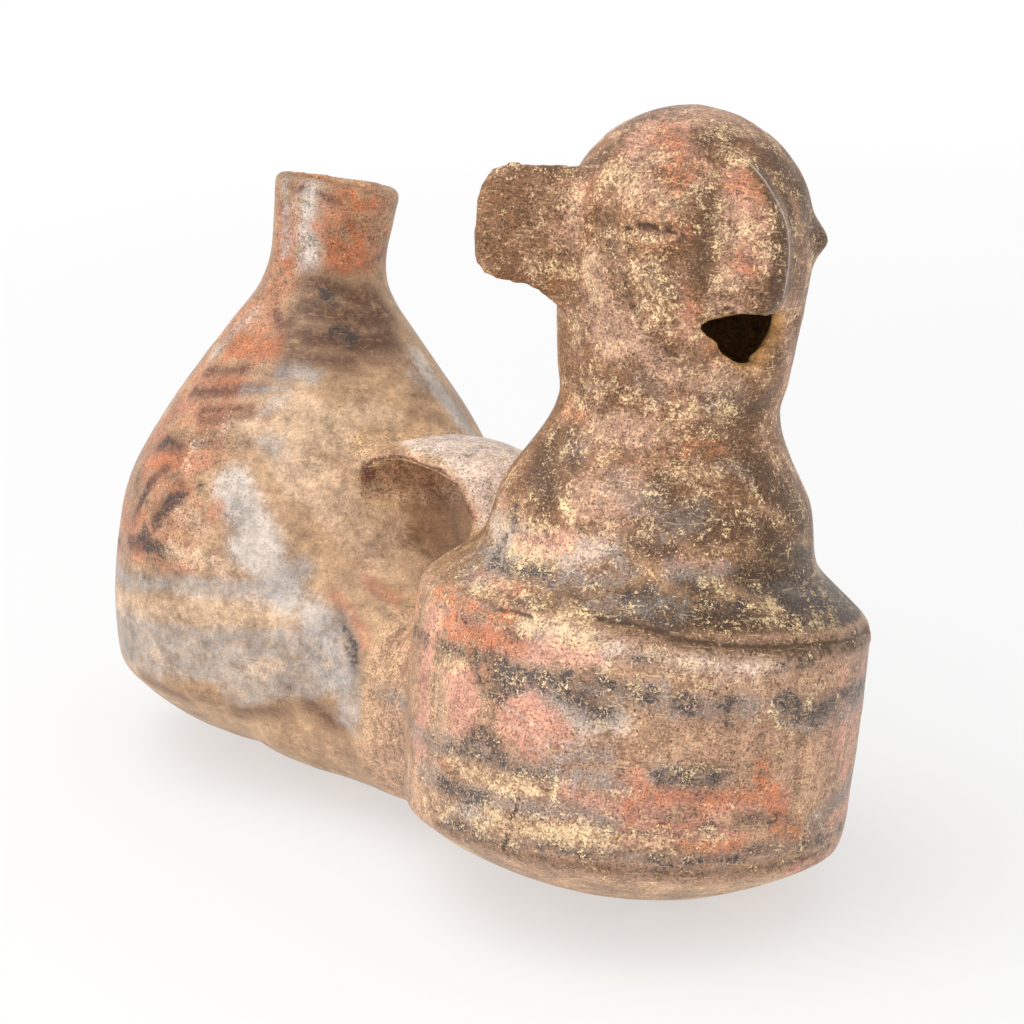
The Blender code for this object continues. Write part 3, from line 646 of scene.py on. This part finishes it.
rearPaint = {
    "orange": [
        (2.4, (-42, 178), (-30, 176), (-12, 176)), (5.0, (-100, 168), (-94, 160), (-90, 156)),
        (7.0, (-60, 168), (-48, 164), (-38, 158)), (3.4, (-34, 170), (-22, 164), (-10, 158)),
        (7.0, (-98, 131), (-84, 131.4), (-72, 130.8)), (3.4, (-92.5, 120), (-82.5, 121)),
        (5.4, (-103, 95), (-94.6, 96.4), (-87, 97)), (4.0, (-93, 90), (-88, 88), (-82, 82)),
        (3.0, (-108, 90), (-104, 86)), (4.0, (-114, 74), (-108, 72)), (3.0, (-104, 76), (-99, 80)),
    ],
    "red": [
        (7.0, (-58, 174), (-40, 170)), (7.0, (-104, 170), (-100, 160), (-96, 150)),
        (8.0, (-46, 158), (-20, 158), (6, 160)), (12.0, (-118, 136), (-100, 134), (-78, 134)),
        (7.0, (-116, 120), (-96, 119), (-80, 121)), (4.0, (-114, 111), (-94, 110), (-80, 111)),
        (11.0, (-114, 98), (-98, 95), (-84, 97)), (6.0, (-104, 90), (-94, 86), (-88, 80)),
        (9.0, (-118, 78), (-108, 74), (-90, 74)), (3.6, (-116, 66.4), (-105, 66), (-92, 66.2), (-76, 66.4)),
        (5.0, (-74, 80), (-70, 86)), (4.0, (-34, 66), (-28, 58), (-27, 48)), (4.0, (-26, 70), (-20, 66)),
    ],
    "rust": [
        (2.4, (-168, 120), (-146, 121), (-126, 120)), (3.0, (-158, 98), (-150, 92), (-154, 84)),
        (2.6, (-136, 97), (-130, 90), (-134, 82)), (2.6, (-172, 66), (-140, 67), (-118, 66.4)),
        (2.6, (70, 121), (100, 122), (136, 120)), (2.6, (78, 70), (110, 67), (150, 66)),
        (3.4, (96, 98), (102, 88), (98, 80)), (2.4, (-106, 121.6), (-92, 123.2), (-81, 124.8)),
        (3.0, (-105, 115.2), (-91, 117), (-78.6, 119), (-68, 120.4)), (1.6, (-93, 111.2), (-81, 113), (-70, 114.2)),
        (1.6, (-90, 108.4), (-79, 110.2), (-69, 112)), (1.8, (-93, 111), (-90, 108.6)),
        (4.0, (-107, 98.4), (-102, 100.8), (-93, 100)), (3.0, (-106, 76), (-101, 85), (-97.4, 92.4)),
        (2.2, (-104, 82), (-101, 89), (-94, 93.4)), (4.4, (-107, 68.6), (-100, 70), (-93, 70)),
        (5.4, (-92.6, 78), (-89.6, 83), (-84.6, 86)), (1.6, (-84, 64.4), (-78, 64)), (1.6, (-88, 91), (-82, 88)),
        (2.0, (-100, 180), (-92, 178), (-80, 179)), (2.0, (-64, 178), (-50, 176)), (2.0, (-84, 142), (-76, 138)),
    ],
    "black": [
        (4.0, (-92, 79), (-89.4, 83.4), (-84.8, 86)), (4.6, (-97.6, 73.4), (-94, 70.8), (-86, 69.4)),
        (1.8, (-104, 80), (-101.6, 86)), (2.0, (-104, 99), (-99, 100.4)),
        (1.6, (-89, 102.8), (-84.5, 102.2), (-80.4, 103.4)), (1.6, (-78.6, 104.6), (-77.4, 104)),
        (1.6, (-78, 91), (-77, 90)), (2.0, (-33, 62), (-30, 54), (-29, 46)), (2.6, (-29, 50), (-27, 40)),
        (4.0, (-52, 148), (-44, 147)), (5.0, (-40, 138), (-30, 136)),
    ],
    "grey": [
        (6.0, (-180, 53), (-150, 54), (-118, 56.6), (-106, 57), (-87, 60.2), (-72, 62.4), (-59, 63.6), (-50, 64.4)),
        (5.0, (46, 61), (90, 57), (140, 54), (180, 53)), (13.0, (50, 42), (100, 40), (150, 38), (180, 38)),
        (15.0, (-180, 38), (-150, 38), (-112, 40)), (2.4, (-160, 108), (-140, 110), (-124, 109)),
        (3.0, (70, 112), (96, 113), (130, 111)),
        (17.0, (-112, 40), (-92, 40), (-74, 42), (-58, 44), (-46, 46), (-38, 48)),
        (10.0, (-60, 34), (-46, 38), (-36, 42)), (7.0, (-54, 62), (-48, 66), (-43, 72)),
        (1.4, (-69.6, 105), (-61, 106), (-54, 107)), (4.5, (-60, 106.4), (-54, 103)),
        (2.0, (-76, 118.8), (-68.7, 120), (-58, 121)), (4.0, (-64, 125), (-56, 126), (-46, 125)),
        (3.0, (-64, 114), (-58, 118)), (4.0, (8, 126), (20, 122), (32, 116)), (9.0, (-34, 58), (-30, 44), (-28, 34)),
        (4.0, (-104, 180), (-100, 170), (-98, 160)),
    ],
    "dark": [
        (8.0, (-66, 151), (-50, 151), (-34, 149), (-14, 147)), (9.0, (-64, 144), (-44, 143), (-22, 142), (2, 142)),
        (9.0, (-58, 136), (-40, 136), (-22, 135), (0, 137)), (6.0, (-58, 130), (-44, 130), (-30, 130)),
        (5.0, (-70, 140), (-62, 132), (-62, 126)), (5.0, (-8, 150), (4, 148), (14, 143)),
        (2.6, (-140, 184), (-40, 184), (60, 184)), (3.0, (-112, 88), (-108, 84)), (5.0, (-38, 34), (-32, 30)),
        (3.0, (-60, 26), (-44, 30)), (2.0, (-98, 29), (-80, 26)),
    ],
    "cream": [
        (6.5, (-180, 46), (-150, 47), (-124, 49), (-108, 49.5), (-94, 51), (-80, 53), (-66, 55), (-52, 57)),
        (6.0, (50, 53), (100, 50), (150, 47), (180, 46)), (5.0, (-150, 128), (-136, 130)), (7.0, (84, 96), (104, 90)),
        (5.0, (-84, 70), (-72, 70), (-62, 69)), (4.0, (-76, 108.6), (-66, 109.4), (-60, 110)),
        (12.0, (-52, 114), (-44, 112), (-30, 108)), (14.0, (-48, 100), (-36, 92), (-20, 86)),
        (8.0, (-28, 116), (-14, 114)), (14.0, (-32, 88), (-22, 80), (-12, 74)),
        (1.6, (-87, 94), (-86.5, 99.4), (-85.8, 103.6)), (1.6, (-93, 88), (-90, 92)), (4.0, (-56, 40), (-46, 44)),
        (3.0, (-88, 38), (-80, 36)), (5.0, (-82, 82), (-74, 80)), (4.0, (-38, 52), (-34, 46)),
    ],
    # painted sheen on the belly and the spout
    "paleSheen": [
        (12.0, (-67, 92), (-61, 85), (-53, 75)), (11.0, (-60, 76), (-50, 70), (-46, 64)),
        (8.0, (-39, 60), (-36, 50), (-33, 44)), (7.0, (-76, 178), (-72, 168), (-74, 158)),
        (4.0, (-112, 128), (-104, 138)), (8.0, (20, 130), (26, 116), (30, 106)),
    ],
}

crackPath = [(-72.5, 35.4), (-73, 31.5), (-75.2, 28.2), (-74.6, 25), (-76.2, 20.5)]
# thin light lines: real scratches on the drum; on the head, a painted highlight along the nose's ridge
scratchesAndHighlightPaths = {
    "drum": ([(-79, 58.8), (-73, 57), (-66, 54.4)], [(-77, 54.4), (-71, 53), (-66, 51)],
             [(-71, 49.4), (-66, 48.4), (-60, 48.4)], [(-66, 53), (-58, 52.6)], [(-28, 70.5), (-24.6, 73.4)],
             [(1, 67.6), (4.4, 70.6)], [(-36, 73.5), (-32, 75.2)]),
    "head": ([(-16, 202), (-11, 195.6), (-5.2, 187.6), (-4.6, 178), (-5, 169)],),
}
# painted shade along the groove under the shoulder's edge
grooveShadePaths = (
    [(-58, 85.4), (-50, 85), (-44, 84.4), (-37, 83), (-30, 82.2), (-22, 81.7), (-10, 81.4), (4, 81.2), (16, 81),
     (26, 80.9), (36, 81)],
    [(-86, 82.6), (-80, 83), (-74, 82.4)],
)
# painted shade in the eye slits and in a short line by the mouth
creaseShadePaths = (
    [(-75, 182.2), (-69, 183.4), (-62, 183.9), (-54, 183.4), (-48, 182.2)],
    [(-66, 183.2), (-61, 183.3)],
    [(-27, 165.4), (-22, 163.6)],
)
paintNames = ("black", "grey", "red", "orange", "rust", "cream", "dark", "paleSheen")
feather = 3.2
farOff = 20.0     # a distance in mm that reads as no line near


def strokesOn(strokes, angle, reach, z, weight):
    # the cover of a list of strokes, 0.5 at their edges, within `weight`
    cover = np.zeros(len(z))
    near = np.flatnonzero(weight > 0)
    for width, *path in strokes:
        distance = pathDistance(angle[near], z[near], reach[near], path)
        value = np.clip(0.5 + (width / 2 - distance) / (2 * feather), 0, 1) * weight[near]
        cover[near] = np.maximum(cover[near], value)
    return cover


def zonesOf(up, inner):
    z = up[:, 2]
    drumReach = aroundAxis(up, "drum")[1]
    figure = edge(up[:, 1], "figureY")
    drum = figure * edge(drumReach, "drumReach") * edge(z, "drumTop")
    shoulder = figure * (1 - drum) * edge(z, "shoulderFoot") * edge(z, "shoulderTop")
    head = figure * edge(z, "headFoot")
    rear = edge(up[:, 1], "rearY")
    headReach = aroundAxis(up, "head")[1]
    rearReach = aroundAxis(up, "rear")[1]
    side = np.abs(up[:, 0])
    strap = edge(headReach, "strapToHead") * edge(rearReach, "strapToRear") * edge(z, "strapFoot")
    strap *= edge(side, "strapSide")
    strap *= edge(up[:, 1], "strapBack") * edge(up[:, 1], "strapFront")
    outside = 1.0 - inner
    bare = outside * (1 - strap)
    return {"drum": drum * outside, "shoulder": shoulder * bare, "head": head * bare, "rear": rear * bare,
            "strap": strap * outside}


def storeFloat(mesh, name, values):
    layer = mesh.attributes.new(name, "FLOAT", "POINT")
    layer.data.foreach_set("value", np.asarray(values, dtype=np.float32))


def strapPaint(name, up, facing):
    # the strap's top painted paler where it faces up, as painted sheen, its worn edge and its plain underside
    side = np.abs(up[:, 0])
    # painted sheen: the strap's top is painted paler where it faces up
    if name == "paleSheen":
        return edge(facing, "sheenFacing") * edge(side, "sheenSide") * edge(up[:, 1], "sheenBack")
    if name == "cream":
        return edge(facing, "underFacing") * 0.75
    if name == "rust":
        return edge(side, "wornSide") * edge(facing, "wornAbove") * edge(facing, "wornBelow") * 0.8
    if name == "red":
        return edge(side, "redSide") * edge(facing, "redAbove") * edge(facing, "redBelow") * 0.5
    return np.zeros(len(side))


def paintSkin(obj, up, inner):
    mesh = obj.data
    z = up[:, 2]
    normals = readRows(mesh.vertices, "normal") @ turn
    facing = normals[:, 2]
    zones = zonesOf(up, inner)
    paints = {"drum": drumPaint, "shoulder": shoulderPaint, "head": headPaint, "rear": rearPaint}
    places = {zone: aroundAxis(up, zone) for zone in paints}
    for name in paintNames:
        cover = strapPaint(name, up, facing) * zones["strap"]
        for zone, paint in paints.items():
            angle, reach = places[zone]
            cover = np.maximum(cover, strokesOn(paint.get(name, []), angle, reach, z, zones[zone]))
        storeFloat(mesh, name, cover)
    drumAngle, drumReach = places["drum"]
    crack = pathDistance(drumAngle, z, drumReach, crackPath)
    storeFloat(mesh, "crack", crack * zones["drum"] + farOff * (1 - zones["drum"]))
    # thin light lines: scratches on the drum and a painted highlight along the nose's ridge
    scratchesAndHighlight = np.full(len(z), farOff)
    for zone, paths in scratchesAndHighlightPaths.items():
        angle, reach = places[zone]
        for path in paths:
            distance = pathDistance(angle, z, reach, path)
            scratchesAndHighlight = np.minimum(scratchesAndHighlight, np.where(zones[zone] > 0.5, distance, farOff))
    storeFloat(mesh, "scratchesAndHighlight", scratchesAndHighlight)
    angle = places["rear"][0]
    wash = np.maximum(edge(angle, "washRight"), edge(angle, "washLeft") * 0.8) * edge(np.abs(angle), "washBack")
    wash = np.maximum(wash * edge(z, "washFoot"), edge(z, "washSpout"))
    storeFloat(mesh, "wash", wash * zones["rear"])
    for zone in paints:
        storeFloat(mesh, zone + "Zone", zones[zone])
    angle, reach = places["head"]
    a = np.radians(angle)
    outward = np.abs((normals * np.stack([np.sin(a), -np.cos(a), 0 * a], axis=1)).sum(axis=1))
    level = mouthLevel(z, "tornLevel")
    level *= edge(np.abs(angle - body["mouthTurn"]), "tornTurn")
    torn = np.maximum(edge(outward, "tornFacing") * edge(reach, "tornOuter"), edge(reach, "tornInner"))
    storeFloat(mesh, "inside", np.maximum(inner, torn * level * zones["head"]))
    # painted shade lines: distance to the eye slits, the line by the mouth and the grooves under the shoulder's edge
    lines = np.min([pathDistance(angle, z, body["headRadius"], path) for path in creaseShadePaths], axis=0)
    lines = lines * zones["head"] + farOff * (1 - zones["head"])
    chamber = np.maximum(zones["drum"], zones["shoulder"])
    for path in grooveShadePaths:
        groove = pathDistance(drumAngle, z, body["lineRadius"], path) + 0.1
        lines = np.where(chamber > 0.5, np.minimum(lines, groove), lines)
    storeFloat(mesh, "creaseShade", lines)
    layer = mesh.attributes.new("upright", "FLOAT_VECTOR", "POINT")
    layer.data.foreach_set("vector", up.astype(np.float32).ravel())
    print("painted skin")


# Clay: one material over the whole vessel

clay = {
    "buff": (206, 168, 130),
    "tan": (182, 142, 112),
    "rose": (186, 144, 120),
    "brown": (132, 92, 62),
    "mauve": (186, 142, 116),
    # dark brown of pits, the crack and smoke, also used for painted shade
    "deep": (74, 52, 34),
    "cream": (228, 196, 150),
    "salmon": (204, 146, 124),
    "orange": (188, 108, 66),
    "rust": (108, 66, 52),
    "ember": (190, 124, 92),
    # colour of the painted sheen on the head
    "headSheen": (202, 160, 136),
    # colour of the painted sheen on the rear
    "sheen": (216, 206, 197),
    "shell": (218, 186, 156),
    "black": (66, 56, 54),
    "grey": (130, 122, 118),
    "ash": (174, 167, 162),
    # colour of the painted sheen and highlights on the drum, shoulder and strap, and of the thin light lines
    "paleSheen": (222, 200, 184),
    "bare": (180, 134, 82),
    # sizes in mm of the noises that wear it
    "broadSize": 34.0,
    "mediumSize": 11.0,
    "clumpSize": 9.0,
    "smallSize": 3.6,
    "streakSize": 2.6,
    "brushSize": 2.2,
    "shredSize": 1.9,
    "scratchSize": 1.7,
    "hairSize": 1.25,
    "gritSize": 0.62,
    # its burnish
    "rough": (0.34, 0.52),
    "flakeRough": 0.15,
    "insideRough": 0.3,
    "bumpStrength": 0.45,
    "bumpDepth": 1.2 * mm,
    "refraction": 1.5,
    "specular": 0.32,
}


def shade(name):
    parts = [c / 255 for c in clay[name]]
    return [c / 12.92 if c < 0.04045 else ((c + 0.055) / 1.055) ** 2.4 for c in parts] + [1.0]


class Wire:
    # a socket in a node tree, with arithmetic
    def __init__(self, tree, socket=None):
        self.tree = tree
        self.socket = socket

    def add(self, kind, settings, inputs, out=0):
        node = self.tree.nodes.new(kind)
        for name, value in settings.items():
            setattr(node, name, value)
        for key, value in inputs.items():
            if isinstance(value, Wire):
                self.tree.links.new(value.socket, node.inputs[key])
            else:
                node.inputs[key].default_value = value
        return Wire(self.tree, node.outputs[out])

    def math(self, operation, *values):
        return self.add("ShaderNodeMath", {"operation": operation}, dict(enumerate(values)))

    def __add__(self, other):
        return self.math("ADD", self, other)

    def __sub__(self, other):
        return self.math("SUBTRACT", self, other)

    def __rsub__(self, other):
        return self.math("SUBTRACT", other, self)

    def __mul__(self, other):
        return self.math("MULTIPLY", self, other)

    __radd__ = __add__
    __rmul__ = __mul__

    def between(self, start, end, low=0.0, high=1.0):
        inputs = {"Value": self, "From Min": start, "From Max": end, "To Min": low, "To Max": high}
        return self.add("ShaderNodeMapRange", {"interpolation_type": "SMOOTHSTEP"}, inputs)

    def blend(self, under, over):
        # self is the share of `over`
        return self.add("ShaderNodeMix", {"data_type": "RGBA"}, {0: self, 6: under, 7: over}, 2)

    def attribute(self, name, out="Fac"):
        return self.add("ShaderNodeAttribute", {"attribute_name": name}, {}, out)

    def stretch(self, factors):
        return self.add("ShaderNodeVectorMath", {"operation": "MULTIPLY"}, {0: self, 1: factors})

    def shifted(self, by):
        return self.add("ShaderNodeVectorMath", {"operation": "ADD"}, {0: self, 1: by})

    def times(self, tone):
        # a colour made darker or lighter by a number
        return self.add("ShaderNodeMix", {"data_type": "RGBA", "blend_type": "MULTIPLY"}, {0: 1.0, 6: self, 7: tone}, 2)

    def noise(self, size, detail=3.0, rough=0.55, warp=0.0):
        inputs = {"Vector": self, "Scale": 1.0 / size, "Detail": detail, "Roughness": rough, "Distortion": warp}
        return self.add("ShaderNodeTexNoise", {}, inputs)


def clayMaterial():
    material = bpy.data.materials.new("burnished_clay_worn")
    material.use_nodes = True
    tree = material.node_tree
    shader = tree.nodes["Principled BSDF"]
    wire = Wire(tree)
    place = wire.attribute("upright", "Vector")
    read = {name: wire.attribute(name) for name in paintNames}
    head, drum, rear, shoulder = (wire.attribute(zone + "Zone") for zone in ("head", "drum", "rear", "shoulder"))
    inside = wire.attribute("inside")

    broad = place.noise(clay["broadSize"], 2.0, 0.5)
    medium = place.noise(clay["mediumSize"], 3.0, 0.6)
    small = place.noise(clay["smallSize"], 4.0, 0.65)
    grit = place.noise(clay["gritSize"], 2.0, 0.7)
    hair = place.shifted((31, 7, 13)).noise(clay["hairSize"], 4.0, 0.7, 1.6)
    shred = place.shifted((3, 17, 29)).stretch((0.7, 0.7, 1)).noise(clay["shredSize"], 5.0, 0.75, 0.8)
    clump = place.shifted((5, 50, 20)).noise(clay["clumpSize"], 3.0, 0.7)
    streak = place.stretch((1, 1, 0.13)).noise(clay["streakSize"], 3.0, 0.6)
    brush = place.stretch((0.12, 0.12, 1)).noise(clay["brushSize"], 3.0, 0.65)
    scratch = place.stretch((0.28, 0.28, 2.4)).noise(clay["scratchSize"], 3.0, 0.6)
    wash = wire.attribute("wash")
    calm = 1.0 - rear * 0.62 + wash * 0.45
    dissolve = (medium - 0.5) * 1.6 + ((small - 0.5) * 2.4 + (shred - 0.5) * 2.6 + (grit - 0.5) * 1.0) * calm

    def cover(name, soft, ragged=1.0):
        # 1 well inside a stroke; its edge dissolves into specks
        field = read[name]
        return ((field - 0.5) * 2.0 + dissolve * field.between(0.0, 0.12) * ragged).between(soft * -1.0, soft)

    def laid(share, tone):
        # the colour so far under a share of another
        return share.blend(colour, shade(tone) if isinstance(tone, str) else tone)

    dots = (hair * 0.5 + grit * 0.5).between(0.54, 0.58) * calm
    worn = shred.between(0.36, 0.58, 0.45, 1.0)
    colour = (broad * 0.6 + medium * 0.4).between(0.40, 0.60).blend(shade("tan"), shade("buff"))
    colour = laid(rear * 0.55, "buff")
    colour = laid(wash * (clump * 0.6 + small * 0.4).between(0.42, 0.58, 0.08, 0.75), "ember")
    colour = laid(drum * 0.55, "rose")
    colour = laid(drum * (streak * 0.5 + clump * 0.5).between(0.42, 0.62) * 0.45, "brown")
    colour = laid(head * small.between(0.3, 0.5, 0.85, 1.0), "brown")
    colour = laid(shoulder * small.between(0.3, 0.55, 0.3, 0.75), "brown")
    colour = laid(head * (clump * 0.7 + shred * 0.3).between(0.44, 0.62) * 0.6, "mauve")
    colour = laid(brush.between(0.5, 0.7) * 0.3, "brown")
    # painted sheen and highlights: pale on the drum, shoulder and strap, paler on the rear, pinker on the head
    glow = head.blend(rear.blend(shade("paleSheen"), shade("sheen")), shade("headSheen"))
    colour = laid(cover("paleSheen", 1.0) * (0.94 - drum * 0.2 - shoulder * 0.2 - head * 0.4 - rear * 0.14), glow)
    reds = (rear * 0.8).blend(shade("salmon"), shade("ember"))
    colour = laid(cover("red", 0.4) * (0.85 - head * 0.45 - rear * 0.2 - wash * 0.1), reds)
    colour = laid(cover("orange", 0.6, 1.2) * worn * (0.8 - head * 0.3), "orange")
    colour = laid(cover("rust", 0.5) * worn.between(0.3, 0.8, 0.7, 0.95), "rust")
    # dark strokes: the clay's own smoke and dark paint, and painted shade under the shoulder's edge, on the nose and on
    # the far cheek
    smokeAndShade = cover("dark", rear * 0.7 + 0.8, 1.3) * worn.between(0.3, 0.9, 0.65, 1.0) * (1.0 - head * 0.25)
    colour = laid(smokeAndShade, (rear * 0.45).blend(shade("deep"), shade("rust")))
    greys = (rear * 0.9).blend(shade("grey"), shade("ash"))
    colour = laid(cover("grey", 0.7, 1.2) * worn * (0.8 - dots * 0.4 - head * 0.3), greys)
    colour = laid(cover("black", 0.4, 1.3) * worn * (0.95 - dots * 0.6), "black")
    light = rear.blend(shade("cream"), shade("shell"))
    crumbs = head.between(0.0, 1.0, 0.42, 0.505)
    crisp = hair.between(crumbs, crumbs.between(0.42, 0.505, 0.55, 0.53), 0.12, 0.85)
    colour = laid(cover("cream", 0.6, 1.6) * crisp, light)

    dense = wire.math("MAXIMUM", head * 0.95, shoulder * 0.85) + drum * 0.4 - rear * 0.9
    flake = (hair + (clump - 0.5) * 0.6 + (small - 0.5) * 0.3 + (dense - 1.0) * 0.08).between(0.592, 0.607)
    colour = laid(flake * 0.92, "cream")
    colour = laid(dots * 0.2, "cream")
    pits = grit.between(0.43, 0.37) * small.between(0.4, 0.55) * calm
    colour = laid(pits * 0.65, "deep")
    chips = shred.between(0.545, 0.565) * 0.16 - shred.between(0.45, 0.43) * 0.16
    colour = laid(inside * 0.9, "bare")
    mottle = (medium - 0.5) * 1.2 + (small - 0.5) * (1.3 - head * 0.5)
    mottle = mottle + (chips + (grit - 0.5) * 1.6 + (shred - 0.5) * 0.6) * calm
    colour = colour.times(mottle + (0.94 + drum * 0.05 - rear * 0.06 + head * 0.02))
    colour = laid(scratch.between(0.63, 0.65) * (0.35 - rear * 0.2), "cream")
    # thin light lines: scratches on the drum, and a painted highlight along the nose's ridge
    scratchesAndHighlight = (wire.attribute("scratchesAndHighlight") + (shred - 0.5) * 0.8).between(0.75, 0.3)
    colour = laid(scratchesAndHighlight * (0.3 + head * 0.25), "paleSheen")
    crack = (wire.attribute("crack") + (grit - 0.5) * 1.6).between(0.75, 0.2)
    colour = laid(crack * 0.9, "deep")
    # painted shade in the eye slits, by the mouth and in the groove under the shoulder's edge
    creaseShade = (wire.attribute("creaseShade") + (shred - 0.5) * 1.4).between(0.9, 0.3)
    colour = laid(creaseShade * 0.85, "deep")

    rough = (medium * 0.5 + small * 0.5).between(0.3, 0.7, *clay["rough"])
    rough = rough + flake * clay["flakeRough"] + inside * clay["insideRough"]
    height = medium * 0.5 + small * 0.35 + grit * 0.12 + brush * 0.25 + pits * -0.2 + crack * -0.6
    relieved = {"Height": height, "Strength": clay["bumpStrength"], "Distance": clay["bumpDepth"]}
    normal = wire.add("ShaderNodeBump", {}, relieved)
    for name, value in (("Base Color", colour), ("Roughness", rough), ("Normal", normal)):
        tree.links.new(value.socket, shader.inputs[name])
    shader.inputs["IOR"].default_value = clay["refraction"]
    shader.inputs["Specular IOR Level"].default_value = clay["specular"]
    return material


# Studio: pale floor, soft light, and the camera at the photograph's angle

studio = {
    "floorSize": 9.0,
    "floorTone": 0.36,
    "floorGlow": 0.68,
    "glowNear": 0.8,
    "glowReach": (0.3, 1.8),
    "worldTone": 0.8,
    "azimuth": -42.0016,
    "elevation": 17.0361,
    "distance": 0.805586,
    "target": (-0.0091, -0.0226, 0.09533),
    "lens": 100.0,
    "sensor": 36.0,
    "clipStart": 0.05,
    "paperRough": 0.9,
    "paperSpecular": 0.1,
    "lampTarget": (0.0, 0.0, 0.09),
    # azimuth, elevation, distance in m, width in m, watts
    "key": (-88.0, 32.0, 1.5, 2.0, 14.0),
    "top": (-140.0, 68.0, 1.7, 1.2, 8.0),
    "fill": (-15.0, 14.0, 1.8, 1.2, 2.5),
}


def around(azimuth, elevation, distance, centre):
    a, e = math.radians(azimuth), math.radians(elevation)
    way = Vector((math.sin(a) * math.cos(e), -math.cos(a) * math.cos(e), math.sin(e)))
    return Vector(centre) + way * distance


def aim(obj, centre):
    obj.rotation_euler = (Vector(centre) - obj.location).to_track_quat("-Z", "Y").to_euler()


def makeStudio():
    scene = bpy.context.scene
    half = studio["floorSize"] / 2
    mesh = bpy.data.meshes.new("studio_floor")
    mesh.from_pydata([(-half, -half, 0), (half, -half, 0), (half, half, 0), (-half, half, 0)], [], [(0, 1, 2, 3)])
    floor = bpy.data.objects.new("studio_floor", mesh)
    scene.collection.objects.link(floor)
    paper = bpy.data.materials.new("studio_paper")
    paper.use_nodes = True
    shader = paper.node_tree.nodes["Principled BSDF"]
    shader.inputs["Base Color"].default_value = [studio["floorTone"]] * 3 + [1.0]
    shader.inputs["Roughness"].default_value = studio["paperRough"]
    shader.inputs["Specular IOR Level"].default_value = studio["paperSpecular"]
    place = Wire(paper.node_tree).add("ShaderNodeNewGeometry", {}, {})
    away = place.add("ShaderNodeVectorMath", {"operation": "LENGTH"}, {0: place}, 1)
    glow = away.between(*studio["glowReach"], studio["glowNear"], 1.0)
    paper.node_tree.links.new(glow.socket, shader.inputs["Emission Color"])
    shader.inputs["Emission Strength"].default_value = studio["floorGlow"]
    mesh.materials.append(paper)

    world = bpy.data.worlds.new("studio_air")
    world.use_nodes = True
    world.node_tree.nodes["Background"].inputs["Color"].default_value = [studio["worldTone"]] * 3 + [1.0]
    scene.world = world

    centre = studio["lampTarget"]
    for name in ("key", "top", "fill"):
        azimuth, elevation, distance, width, watts = studio[name]
        light = bpy.data.lights.new(name + "_light", "AREA")
        light.size = width
        light.energy = watts
        lamp = bpy.data.objects.new(name + "_light", light)
        lamp.location = around(azimuth, elevation, distance, centre)
        aim(lamp, centre)
        scene.collection.objects.link(lamp)

    lens = bpy.data.cameras.new("photo_camera")
    lens.lens = studio["lens"]
    lens.sensor_width = studio["sensor"]
    lens.clip_start = studio["clipStart"]
    lens.dof.use_dof = False
    camera = bpy.data.objects.new("photo_camera", lens)
    camera.location = around(studio["azimuth"], studio["elevation"], studio["distance"], studio["target"])
    aim(camera, studio["target"])
    scene.collection.objects.link(camera)
    scene.camera = camera
    scene.view_settings.view_transform = "Standard"
    print("studio ready")


vessel = makeBody()
up, inner = workSkin(vessel)
paintSkin(vessel, up, inner)
vessel.data.materials.append(clayMaterial())
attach(vessel, "root")
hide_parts("whistling_vessel")
makeStudio()
